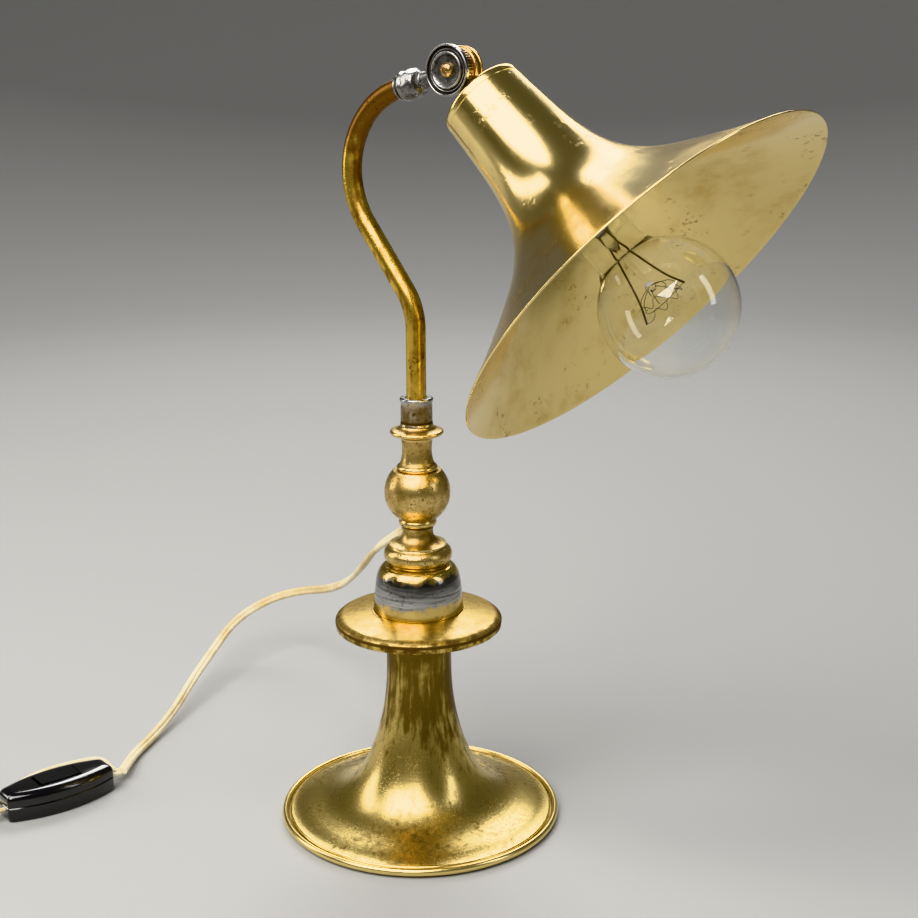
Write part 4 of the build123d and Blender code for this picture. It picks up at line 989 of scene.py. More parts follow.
@dataclass
class Workshop:
    """What every sub-assembly needs: the paint, the repeat trees and the list of what is made."""

    paint: Paint
    frame: dict
    ring: bpy.types.GeometryNodeTree = field(default_factory=ring_tree)
    helix: bpy.types.GeometryNodeTree = field(default_factory=thread_tree)
    covered: set[str] = field(default_factory=set)

    def seat(
        self,
        obj: bpy.types.Object,
        body: Body,
        slot: str,
        *finishes: Finish,
        replaces: Sequence[str] = (),
    ) -> bpy.types.Object:
        """Dresses a piece and says what it rides on and stands for.

        Args:
            obj: The piece.
            body: The body that it moves with.
            slot: The record's material slot; not used.
            finishes: Its materials in order.
            replaces: The CAD nodes that it stands for.

        Returns:
            The piece.
        """
        if finishes:
            self.paint.dress(obj, *finishes)
        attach(obj, body.value)
        if replaces:
            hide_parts(*replaces)
            self.covered.update(replaces)
        log.info("%s on %s: %d faces", obj.name, body.value, len(obj.data.polygons))
        return obj

    def turned(
        self, name: str, outline: Sequence[Pair], body: Body, slot: str, *finishes: Finish,
        node: str | None = None, **turning: object,
    ) -> bpy.types.Object:
        """Turns an outline and seats it, in its node's place if it has one.

        Args:
            name: The piece's name.
            outline: Radius and height of each point, in millimetres.
            body: The body that it moves with.
            slot: The record's material slot.
            finishes: Its materials in order.
            node: The CAD node that it stands for.
            turning: What else lathe is told.

        Returns:
            The piece.
        """
        piece = lathe(name, outline, **turning)
        return self.seat(piece, body, slot, *finishes, replaces=(node,) if node else ())

    def keep(self, node: str, finish: Finish) -> bpy.types.Object:
        """Leaves a drawn piece as it is and gives it its finish."""
        self.covered.add(node)
        return self.paint.dress(self.frame["nodes"][node], finish)

    def level(self, node: str) -> float:
        """Gives the height of a node's underside, in millimetres."""
        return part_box(node)[0][2] / MM


# ---------------------------------------------------------------- foot and column


@dataclass
class FootAndColumn:
    """The turned pieces that stand still: foot, disc, dome, column and ferrule."""

    shop: Workshop
    foot_r: float = 70.0
    neck_r: float = 16.0
    foot_h: float = 99.2
    wall: float = 1.2
    bore: float = 4.8
    disc_r: float = 41.0
    dome_r: float = 22.0
    dome_h: float = 23.5
    ring_r: float = 16.7
    ball_r: float = 16.0
    ball_foot_r: float = 8.74
    ball_top_r: float = 11.62

    def build(self) -> None:
        """Builds every turned piece."""
        self.foot()
        self.rim()
        self.disc()
        self.dome()
        self.column()
        self.ferrule()
        self.shop.keep("cord_bushing", Finish.BUSHING)

    def turned(self, name: str, outline: Sequence[Pair], slot: str, finish: Finish, node: str) -> None:
        """Turns one outline and seats it in its node's place."""
        self.shop.turned(name, outline, Body.BASE, slot, finish, node=node)

    def foot(self) -> None:
        """Turns the trumpet foot, open below, with its edge let down into the rim's groove."""
        r, top = self.neck_r, self.foot_h
        edge = self.foot_r - 3.9
        outer = spline(
            [
                (r, top - 18), (r + 2.2, 56), (r + 8.6, 34), (r + 17.2, 19), (47.0, 9.9), (59.0, 6.1),
                (edge - 1.2, 4.5),
            ],
            12, (0, -1), (1, -0.1),
        )
        inner = [(x - self.wall * 0.8, z - self.wall) for x, z in outer]
        lip = arc(outer[-1], (edge - 0.3, 4.2), (edge, 3.4), 6)
        outline = [(self.bore, top), (r - 0.4, top), (r, top - 0.4)] + outer + lip[1:]
        outline += [(edge, 2.65), (edge - 1.2, 2.65)] + inner[::-1]
        outline += [(r - self.wall, top - 2), (self.bore, top - 2)]
        self.turned("foot_trumpet", outline, "aged_brass", Finish.AGED_BRASS, "foot_shell")

    def rim(self) -> None:
        """Turns the bead round the foot, with the ledge that the foot's edge rests on."""
        r = self.foot_r
        inner = r - 3.0
        outline = [(inner, 1.5), (inner, 1.0)] + arc((inner + 1.0, 1.0), (r, 3.0), (inner + 1.5, 4.8), 20)
        outline += arc((inner + 1.5, 4.8), (inner + 0.35, 4.3), (inner + 0.05, 3.3), 8)[1:]
        outline += [(inner, 2.6), (inner - 9, 2.6), (inner - 9, 1.5)]
        self.turned("foot_bead", outline, "bright_brass", Finish.RIM_BRASS, "rim_ring")

    def disc(self) -> None:
        """Turns the drip disc, with its worn rolled edge."""
        r, low, top = self.disc_r, self.foot_h + 1.3, self.foot_h + 9.8
        outline = rounded(
            [
                (self.bore, self.foot_h, 0), (self.neck_r + 2, self.foot_h, 0.6), (r - 4.6, low + 2.2, 0.8),
                (r - 2.2, low, 0.9), (r - 0.3, low, 0.9), (r, low + 2.6, 0.9), (r, low + 4.1, 0.8),
                (r - 2.4, low + 5.9, 1.6), (self.dome_r + 1.4, top + 0.05, 1.2), (self.dome_r + 0.1, top + 0.3, 0.3),
                (self.dome_r + 0.1, top, 0.1), (self.bore, top, 0),
            ]
        )
        self.turned("drip_disc_turned", outline, "aged_brass", Finish.DISC_BRASS, "drip_disc")

    def dome(self) -> None:
        """Turns the hollow dome."""
        low = self.shop.level("dome_cup")
        high = low + self.dome_h
        r = self.dome_r
        outer = spline(
            [
                (r, low + 0.7), (r - 0.5, low + 8), (r - 1.3, low + 15), (r - 2.7, low + 20.3),
                (r - 4.9, low + 22.9), (self.ring_r - 1.2, high),
            ],
            8, (-0.02, 1), (-1, 0.10),
        )
        inner = [(x - self.wall, z - self.wall * (0.15 + 0.85 * (z - low) / self.dome_h)) for x, z in outer]
        outline = [(r - self.wall, low), (r - 0.3, low)] + outer + [(self.bore, high)]
        outline += [(self.bore, high - self.wall), (self.ring_r - 1.2, high - self.wall)] + inner[-2::-1]
        self.turned("dome_turned", outline, "worn_nickel", Finish.WORN_NICKEL, "dome_cup")

    def column(self) -> None:
        """Turns the ring, the cove, the ball, the waist and the flange."""
        b, slot, finish = self.bore, "column_brass", Finish.COLUMN_BRASS
        low = self.shop.level("column_ring")
        r = self.ring_r
        ring = [(b, low), (r - 3.4, low), (r - 3.2, low + 0.7)]
        ring += arc((r - 3.2, low + 0.9), (r, low + 4.9), (r - 2.2, low + 9.0), 26)
        ring += [(r - 2.7, low + 9.4), (r - 2.9, low + 10.0), (b, low + 10.0)]
        self.turned("column_ring_turned", ring, slot, finish, "column_ring")

        low = low + 10.0
        cove = spline(
            [(r - 2.9, low + 0.7), (10.4, low + 1.7), (8.3, low + 3.6), (7.4, low + 7.0), (7.9, low + 9.6)],
            10, (-1, 0.25), (0.35, 1),
        )
        bead = arc((8.35, low + 9.75), (9.2, low + 11.3), (8.7, low + 12.9), 12)
        neck = [(b, low), (r - 2.9, low)] + cove + bead + [(8.4, low + 13.0), (b, low + 13.0)]
        self.turned("column_cove_turned", neck, slot, finish, "lower_neck")

        low = low + 13.0
        centre = low + math.sqrt(self.ball_r**2 - self.ball_foot_r**2)
        top = centre + math.sqrt(self.ball_r**2 - self.ball_top_r**2)
        ball = [(b, low)] + arc((self.ball_foot_r, low), (self.ball_r, centre), (self.ball_top_r, top), 52)
        ball += [(self.ball_top_r - 0.5, top), (b, top)]
        self.turned("column_ball_turned", ball, slot, finish, "ball_knop")

        collar = arc((9.2, top), (9.95, top + 1.3), (9.15, top + 2.6), 10)
        waist = spline(
            [(8.9, top + 2.8), (7.8, top + 5.0), (7.1, top + 10.5), (7.7, top + 16.0)],
            10, (-0.7, 0.6), (0.15, 1),
        )
        upper = [(b, top)] + collar + waist + [(b, top + 16.0)]
        self.turned("column_waist_turned", upper, slot, finish, "upper_neck")

        low = top + 16.0
        flange = [(b, low), (7.9, low)] + spline([(7.9, low), (9.2, low + 0.5), (11.6, low + 1.5)], 6)[1:]
        flange += arc((11.8, low + 1.6), (12.9, low + 2.7), (11.9, low + 3.9), 14)
        flange += spline([(11.7, low + 4.0), (9.4, low + 4.7), (8.3, low + 5.8)], 6) + [(b, low + 5.8)]
        self.turned("column_flange_turned", flange, slot, finish, "top_flange")

    def ferrule(self) -> None:
        """Turns the ferrule that the stem stands in."""
        low = self.shop.level("stem_ferrule")
        outline = rounded(
            [
                (self.bore, low, 0), (8.1, low, 0.3), (7.9, low + 1.0, 0.5), (7.65, low + 1.7, 0.4),
                (7.55, low + 11.4, 0.4), (7.65, low + 11.9, 0.2), (8.05, low + 12.4, 0.4), (8.0, low + 13.4, 0.5),
                (7.3, low + 14.0, 0.3), (5.2, low + 14.0, 0.2), (self.bore, low + 13.4, 0),
            ]
        )
        self.turned("ferrule_turned", outline, "ferrule_brass", Finish.FERRULE_BRASS, "stem_ferrule")


# ---------------------------------------------------------------- stem


@dataclass
class Stem:
    """The bent tube, from inside the ferrule to the knuckle."""

    shop: Workshop
    radius: float = 4.75
    wall: float = 1.0
    start: float = 198.3
    first_bend: float = 248.0
    lower_r: float = 30.0
    lower_turn: float = 37.5
    straight: float = 37.5
    upper_r: float = 39.5
    upper_turn: float = 113.0
    end: float = 6.8
    stride: float = 1.6

    def path(self) -> list[Vector]:
        """Walks up the stem's centre line, straight and bent by turns."""
        x, z, heading = 0.0, self.start, 90.0
        places = [Vector((x, 0, z))]
        runs = (
            (self.first_bend - self.start, 0.0),
            (math.radians(self.lower_turn) * self.lower_r, self.lower_turn),
            (self.straight, 0.0),
            (math.radians(self.upper_turn) * self.upper_r, -self.upper_turn),
            (self.end, 0.0),
        )
        for length, turn in runs:
            steps = max(2, round(length / self.stride))
            for _ in range(steps):
                heading += turn / steps / 2
                way = math.radians(heading)
                x += math.cos(way) * length / steps
                z += math.sin(way) * length / steps
                heading += turn / steps / 2
                places.append(Vector((x, 0, z)))
        return places

    def build(self) -> None:
        """Sweeps the tube."""
        outside, inside = circle(self.radius, 56), circle(self.radius - self.wall, 56)
        pipe = tube("stem_tube_bent", self.path(), outside, bore=inside)
        self.shop.seat(pipe, Body.ARM, "stem_brass", Finish.STEM_BRASS, replaces=("stem_tube",))


# ---------------------------------------------------------------- knuckle


@dataclass
class Knuckle:
    """The friction joint: nickel fitting, knurled drum and face disc on the arm, a brass cheek on the shade."""

    shop: Workshop
    reach: float = 26.3
    lug_r: float = 10.4
    lug_t: float = 5.7
    face_r: float = 11.4
    socket_r: float = 7.0
    bore: float = 2.55
    gap: float = 0.5
    ridges: int = 52

    def along_pin(self) -> Matrix:
        """Gives the place whose Z runs along the pin, from the face disc's side to the nut's."""
        return Matrix.Translation(PIN) @ Matrix.Rotation(-math.pi / 2, 4, "X")

    def build(self) -> None:
        """Builds both halves of the joint."""
        self.fitting()
        self.drum()
        self.face()
        self.screw()
        self.cheek()

    def fitting(self) -> None:
        """Shapes the hand-filed ball on the stem's end and the neck from it to the drum."""
        way = Vector((math.cos(HEADING), 0, math.sin(HEADING)))
        tip = Vector(PIN) - way * self.reach
        place = Matrix.Translation(tip) @ way.to_track_quat("Z", "Y").to_matrix().to_4x4()
        outline = rounded(
            [
                (4.8, -6.5, 0), (5.9, -6.5, 0.3), (6.0, -4.6, 0.4), (6.9, -3.6, 0.8), (7.0, 1.2, 2.0),
                (6.6, 4.6, 1.4), (5.0, 6.4, 1.0), (3.9, 7.8, 0.9), (3.7, 10.0, 0), (3.7, 15.6, 0.4),
                (0.0, 15.8, 0),
            ],
            6,
        )
        fitting = lathe("knuckle_fitting", outline + [(0.0, 0.3), (4.8, 0.2)], place, segments=72)
        self.facet(fitting.data, tip + way * 1.2)
        self.shop.seat(fitting, Body.ARM, "gunmetal_nickel", Finish.GUNMETAL)

    def facet(self, mesh: bpy.types.Mesh, centre: Vector) -> None:
        """Files flats on the ball, at fixed places round it."""
        middle = centre * MM
        flats = [
            Vector((math.cos(a) * math.cos(b), math.sin(a) * math.cos(b), math.sin(b)))
            for a, b in (
                (0.4, 0.9), (1.5, 0.3), (2.6, -0.5), (3.6, 0.8), (4.5, 0.35), (5.1, -0.6), (5.7, 0.25), (4.9, 1.2)
            )
        ]
        cut = self.socket_r * 0.90 * MM
        for vert in mesh.vertices:
            out = vert.co - middle
            if out.length > self.socket_r * 1.12 * MM:
                continue
            for flat in flats:
                over = out.dot(flat) - cut
                if over > 0:
                    out -= flat * over * 0.85
            vert.co = middle + out

    def drum(self) -> None:
        """Turns the drum behind the face disc and knurls its rim."""
        low, high = -self.gap - self.lug_t, -self.gap
        r = self.lug_r - 0.35
        outline = rounded(
            [
                (self.bore, low, 0), (r - 0.5, low, 0.2), (r, low + 0.5, 0.2), (r, high - 0.5, 0.2),
                (r - 0.5, high, 0.2), (self.bore, high, 0),
            ]
        )
        self.shop.turned(
            "knuckle_drum", outline, Body.ARM, "gunmetal_nickel", Finish.DRUM, node="arm_lug",
            place=self.along_pin(), segments=96,
        )
        ridge = lathe(
            "ridge", [(0.0, -1.9), (0.28, -1.7), (0.34, 0.0), (0.28, 1.7), (0.0, 1.9)], closed=False, segments=8
        )
        values = {
            "Piece": ridge, "Count": self.ridges, "Radius": (r + 0.02) * MM,
            "Finish": self.shop.paint(Finish.DRUM),
        }
        place = self.along_pin() @ Matrix.Translation((0, 0, (low + high) / 2))
        knurl = grown("knuckle_knurl", self.shop.ring, values, in_metres(place))
        bpy.data.objects.remove(ridge)
        self.shop.seat(knurl, Body.ARM, "gunmetal_nickel")

    def face(self) -> None:
        """Turns the ringed face disc."""
        base, r = -self.gap - self.lug_t, self.face_r
        outline = [(2.6, base + 0.05), (2.6, base - 0.84), (3.75, base - 0.84)]
        outline += spline([(3.9, base - 0.86), (5.4, base - 1.0), (6.6, base - 1.25), (7.2, base - 1.75)], 6)
        outline += arc((7.25, base - 1.8), (7.75, base - 2.0), (8.2, base - 1.6), 8)[1:]
        outline += spline([(8.25, base - 1.4), (8.55, base - 1.15), (9.0, base - 1.3), (9.35, base - 1.35)], 5)
        outline += spline([(9.4, base - 1.3), (9.7, base - 0.9), (10.1, base - 0.9), (10.35, base - 1.3)], 5)
        outline += arc((10.4, base - 1.4), (10.85, base - 2.0), (11.25, base - 1.3), 10)
        outline += [(r, base - 0.6), (r, base - 0.1), (r - 0.3, base)]
        self.shop.turned(
            "knuckle_face_disc", outline, Body.ARM, "gunmetal_nickel", Finish.GUNMETAL, node="face_disc",
            place=self.along_pin(), segments=120,
        )
        self.shop.keep("friction_washer", Finish.FIBRE)

    def screw(self) -> None:
        """Keeps the drawn slotted screw and its nut, and gives both their finish."""
        for node in ("knuckle_screw", "knuckle_nut"):
            self.shop.keep(node, Finish.SCREW_BRASS)

    def cheek(self) -> None:
        """Turns the shade's cheek and the boss that the cap screws on."""
        low = self.gap + 0.1
        high = low + self.lug_t
        r = self.lug_r
        outline = rounded(
            [
                (self.bore, low, 0), (r - 0.6, low, 0.3), (r, low + 0.6, 0.3), (r, low + 1.5, 0.2),
                (r - 0.7, low + 1.9, 0.2), (r - 0.7, high - 1.9, 0.2), (r, high - 1.5, 0.2),
                (r, high - 0.6, 0.3), (r - 0.6, high, 0.3), (self.bore, high, 0),
            ],
            4,
        )
        self.shop.turned(
            "knuckle_cheek", outline, Body.SHADE, "lug_brass", Finish.LUG_BRASS, node="shade_lug",
            place=self.along_pin(), segments=96,
        )
        boss = rounded(
            [
                (4.8, 13.2, 0), (6.2, 13.2, 0.4), (6.6, 13.8, 0.4), (6.6, 17.0, 0.3), (6.9, 17.5, 0),
                (4.8, 17.5, 0),
            ]
        )
        self.shop.turned(
            "knuckle_boss", boss, Body.SHADE, "lug_brass", Finish.LUG_BRASS, place=shade_place(), segments=64
        )
        web = block("knuckle_web", (8.0, -5.0, low), (13.6, 5.0, high - 0.6), 0.6)
        web.data.transform(in_metres(self.web_place()))
        self.shop.seat(web, Body.SHADE, "lug_brass", Finish.LUG_BRASS)

    def web_place(self) -> Matrix:
        """Gives the place whose X runs along the shade's axis and Z along the pin."""
        way = Vector((math.cos(SHADE_DROP), 0, -math.sin(SHADE_DROP)))
        pin = Vector((0, 1, 0))
        turn = Matrix((way, pin.cross(way), pin)).transposed().to_4x4()
        return Matrix.Translation(PIN) @ turn


def shade_place() -> Matrix:
    """Gives the place whose Z runs from the knuckle's pin along the shade's axis, in millimetres."""
    return Matrix.Translation(PIN) @ Matrix.Rotation(math.pi / 2 + SHADE_DROP, 4, "Y")


def block(name: str, low: Triple, high: Triple, soft: float) -> bpy.types.Object:
    """Makes a block with softened edges, from its two far corners in millimetres."""
    bm = bmesh.new()
    bmesh.ops.create_cube(bm, size=1.0)
    size = Vector(high) - Vector(low)
    bm.transform(Matrix.Translation((Vector(low) + Vector(high)) / 2) @ Matrix.Diagonal((*size, 1.0)))
    bmesh.ops.bevel(bm, geom=bm.edges[:], offset=soft, segments=3, profile=0.6, affect="EDGES")
    return finish_mesh(bm, name, sharp=math.pi)


# ---------------------------------------------------------------- shade


@dataclass
class Shade:
    """The polished bell with its cap, and the lampholder inside it."""

    shop: Workshop
    cap_start: float = 17.5
    cap_r: float = 20.0
    shade_start: float = 21.8
    wall: float = 0.8
    mouth_r: float = 96.2
    mouth_at: float = 131.5
    holder_r: float = 17.5

    def build(self) -> None:
        """Builds the shade's pieces."""
        self.bell()
        self.cap()
        self.holder()

    def bell(self) -> None:
        """Turns the bell with a thin rolled lip, polished outside and satin inside."""
        start, depth = self.shade_start, self.mouth_at - self.shade_start
        reach = self.mouth_r - self.cap_r - 0.1
        shares = (
            (0, 0), (0.152, 0.017), (0.353, 0.055), (0.499, 0.1235), (0.635, 0.2615), (0.772, 0.498),
            (0.891, 0.748), (1, 1),
        )
        knots = [(self.cap_r + 0.1 + reach * flare, start + depth * share) for share, flare in shares]
        outer = spline(knots, 20, (0.06, 1), (1, 0.6))
        inner = []
        for i, (x, z) in enumerate(outer):
            ax, az = outer[max(i - 1, 0)]
            bx, bz = outer[min(i + 1, len(outer) - 1)]
            size = math.hypot(bx - ax, bz - az)
            inner.append((x - self.wall * (bz - az) / size, z + self.wall * (bx - ax) / size))
        lip = arc(outer[-1], (self.mouth_r + 0.35, self.mouth_at + 0.75), inner[-1], 8)
        split = len(refined(outer + lip, False)) - 5
        outline = outer + lip[1:-1] + inner[::-1]
        self.shop.turned(
            "shade_bell_spun", outline, Body.SHADE, "polished_brass", Finish.SHADE_OUTSIDE, Finish.SHADE_INSIDE,
            node="shade_bell", place=shade_place(), segments=224, split=split,
        )

    def cap(self) -> None:
        """Turns the cap that closes the bell's neck, with a fine line near its edge."""
        r, a, b = self.cap_r, self.cap_start, self.shade_start
        outline = rounded(
            [
                (4.8, a, 0), (r - 2.6, a, 0), (r - 2.5, a + 0.18, 0.05), (r - 2.3, a + 0.05, 0.05),
                (r, a, 2.2), (r, b - 0.35, 0.1), (r - 0.2, b - 0.2, 0.1), (r - 0.2, b, 0), (r - 0.9, b, 0),
                (r - 0.9, b + 4, 0), (r - 2.1, b + 4, 0), (r - 2.1, a + 2.7, 0), (r - 4.2, a + 1.2, 0),
                (4.8, a + 1.2, 0),
            ],
            8,
        )
        self.shop.turned(
            "shade_cap_spun", outline, Body.SHADE, "polished_brass", Finish.SHADE_OUTSIDE, node="shade_cap",
            place=shade_place(),
        )

    def holder(self) -> None:
        """Turns the lampholder's cap and sleeve, with a beaded joint and a flared lip."""
        r = self.holder_r
        cap = rounded(
            [
                (4.8, 24, 0), (7.6, 24, 0.5), (8.0, 27.6, 0.6), (11.5, 30.4, 2.2), (r - 0.8, 33.5, 2.6),
                (r - 0.4, 40.4, 0.4), (r, 40.8, 0.3), (r, 42.0, 0.1), (r - 1.2, 42.0, 0), (r - 1.6, 37.0, 0.5),
                (8.0, 31.4, 0.5), (4.8, 31.0, 0),
            ]
        )
        sleeve = rounded(
            [
                (r - 1.2, 42.1, 0), (r, 42.1, 0.1), (r, 43.4, 0.3), (r - 0.4, 43.9, 0.3), (r - 0.4, 88.4, 0.4),
                (r, 89.2, 0.4), (r, 92.6, 0.5), (14.1, 93.0, 0.3), (14.1, 91.6, 0), (r - 1.2, 91.6, 0),
            ]
        )
        for name, outline, node in (
            ("holder_cap_spun", cap, "holder_cap"), ("holder_sleeve_spun", sleeve, "holder_body")
        ):
            self.shop.turned(
                name, outline, Body.SHADE, "holder_brass", Finish.HOLDER_BRASS, node=node, place=shade_place(),
                segments=96,
            )


# ---------------------------------------------------------------- bulb


@dataclass
class Bulb:
    """The clear globe with its cap, stem, support wires and filament."""

    shop: Workshop
    start: float = 70.0
    radius: float = 30.0
    length: float = 105.3
    glass: float = 0.8
    cap_r: float = 13.05
    neck_r: float = 12.4
    cap_h: float = 27.0
    throat: float = 8.0
    swell: float = 24.5
    supports: int = 7

    def build(self) -> None:
        """Builds the bulb's pieces."""
        place = shade_place()
        globe_at = self.start + self.length - self.radius
        cap_end = self.start + self.cap_h
        low = cap_end - self.throat
        self.envelope(place, globe_at, cap_end, low)
        self.mount(place, globe_at, low)
        self.wires(place, globe_at, low)
        self.cap(place, cap_end)

    def envelope(self, place: Matrix, globe_at: float, cap_end: float, low: float) -> None:
        """Blows the globe and its throat, with an inner wall."""

        def wall(r: float, neck: float) -> list[Pair]:
            """Gives one wall's outline, from the throat to the crown."""
            drop = self.swell
            meet = math.sqrt(r * r - drop**2)
            swell = spline([(neck, cap_end + 4), (meet, globe_at - drop)], 14, (0, 1), (drop / r, meet / r))
            turns = np.linspace(math.atan2(-drop, meet), math.pi / 2, 60)
            globe = [(r * math.cos(t), globe_at + r * math.sin(t)) for t in turns]
            return [(neck, low)] + swell + globe[1:-1] + [(0.0, globe_at + r)]

        outer = wall(self.radius, self.neck_r)
        inner = wall(self.radius - self.glass, self.neck_r - self.glass)
        self.shop.turned(
            "bulb_globe", outer + inner[::-1], Body.BULB, "clear_glass", Finish.CLEAR_GLASS, node="bulb_glass",
            place=place, segments=128,
        )

    def mount(self, place: Matrix, globe_at: float, low: float) -> None:
        """Draws the glass stem: flare, pinch, rod and bead."""
        top = globe_at - 14.0
        outline = [(0.0, low + 0.02)] + spline(
            [(self.neck_r - self.glass - 0.15, low), (8.6, low + 2.2), (5.0, low + 8.5), (3.2, low + 14.0)], 8
        )
        outline += spline([(3.1, low + 15), (2.7, low + 20), (1.2, low + 24)], 5)
        outline += [(1.1, top - 0.6)] + arc((1.2, top), (2.5, top + 2.2), (1.3, top + 4.2), 12)
        outline += [(0.0, top + 4.5)]
        self.shop.turned(
            "bulb_stem", outline, Body.BULB, "clear_glass", Finish.CLEAR_GLASS, node="bulb_mount",
            place=place, closed=False, segments=56,
        )

    def wires(self, place: Matrix, globe_at: float, low: float) -> None:
        """Bends the two lead wires, the star of supports and the zigzag filament."""
        for k, side in enumerate((-1, 1)):
            bends = [
                (side * 1.6, 0, low + 13), (side * 2.2, 0, low + 19), (side * 2.9, 0.4, low + 22),
                (side * 8.2, 0.2, globe_at - 12), (side * 12.4, 0, globe_at - 3.2),
                (side * 12.9, 0, globe_at - 2.2),
            ]
            line = [place @ (p / MM) for p in smooth_route([tuple(c * MM for c in b) for b in bends], 10)]
            lead = tube(f"bulb_lead_{k + 1}", line, circle(0.45, 12))
            node = ("bulb_leads",) if k == 0 else ()
            self.shop.seat(lead, Body.BULB, "support_wire", Finish.WIRE, replaces=node)
        top = globe_at - 11.8
        hook = ((0.6, 0.0), (3.0, 0.6), (6.4, 2.4), (7.6, 3.8), (8.0, 4.9), (7.7, 5.5), (7.1, 5.4))
        arm = tube("support", [Vector((x, 0, z)) for x, z in hook], circle(0.16, 8))
        values = {
            "Piece": arm, "Count": self.supports, "Radius": 0.9 * MM, "Finish": self.shop.paint(Finish.WIRE),
        }
        at = place @ Matrix.Translation((0, 0, top))
        star = grown("bulb_supports", self.shop.ring, values, in_metres(at))
        bpy.data.objects.remove(arm)
        self.shop.seat(star, Body.BULB, "support_wire")
        pts: list[Triple] = []
        for k in range(2 * self.supports + 1):
            t = math.pi * (k / self.supports) * 0.86 + 0.2
            r, h = (8.6, globe_at - 6.9) if k % 2 else (9.6, globe_at - 1.0)
            pts.append((r * math.cos(t) * MM, r * math.sin(t) * MM, h * MM))
        ends = [(side * 12.7 * MM, 0.0, (globe_at - 2.4) * MM) for side in (1, -1)]
        pts = ends[:1] + pts + ends[1:]
        line = [place @ (p / MM) for p in smooth_route(pts, 6)]
        thread = tube("bulb_filament_drawn", line, circle(0.14, 8))
        self.shop.seat(thread, Body.BULB, "filament_wire", Finish.FILAMENT, replaces=("bulb_filament",))

    def cap(self, place: Matrix, cap_end: float) -> None:
        """Rolls the screw cap and winds its thread."""
        r, low = self.cap_r, self.start + 6.0
        outline = rounded(
            [
                (r - 1.6, low, 0), (r - 0.9, low + 1.2, 0.3), (r - 0.6, low + 2, 0.3),
                (r - 0.6, cap_end - 3, 0.3), (r - 0.1, cap_end - 1.5, 0.5), (r - 0.05, cap_end, 0),
                (r - 0.4, cap_end, 0), (r - 0.9, cap_end - 3, 0), (r - 1.0, low + 2, 0),
                (0.0, low + 2, 0), (0.0, low, 0),
            ]
        )
        self.shop.turned(
            "bulb_cap_rolled", outline, Body.BULB, "bulb_cap_metal", Finish.BULB_CAP, node="bulb_screw_cap",
            place=place, segments=96,
        )
        values = {
            "Turns": 4.2, "Radius": (r - 0.85) * MM, "Length": 15.2 * MM, "Rib": 0.8 * MM,
            "Finish": self.shop.paint(Finish.BULB_CAP),
        }
        at = place @ Matrix.Translation((0, 0, low + 2.4))
        thread = grown("bulb_cap_thread", self.shop.helix, values, in_metres(at))
        self.shop.seat(thread, Body.BULB, "bulb_cap_metal")


# ---------------------------------------------------------------- flex, switch and plug


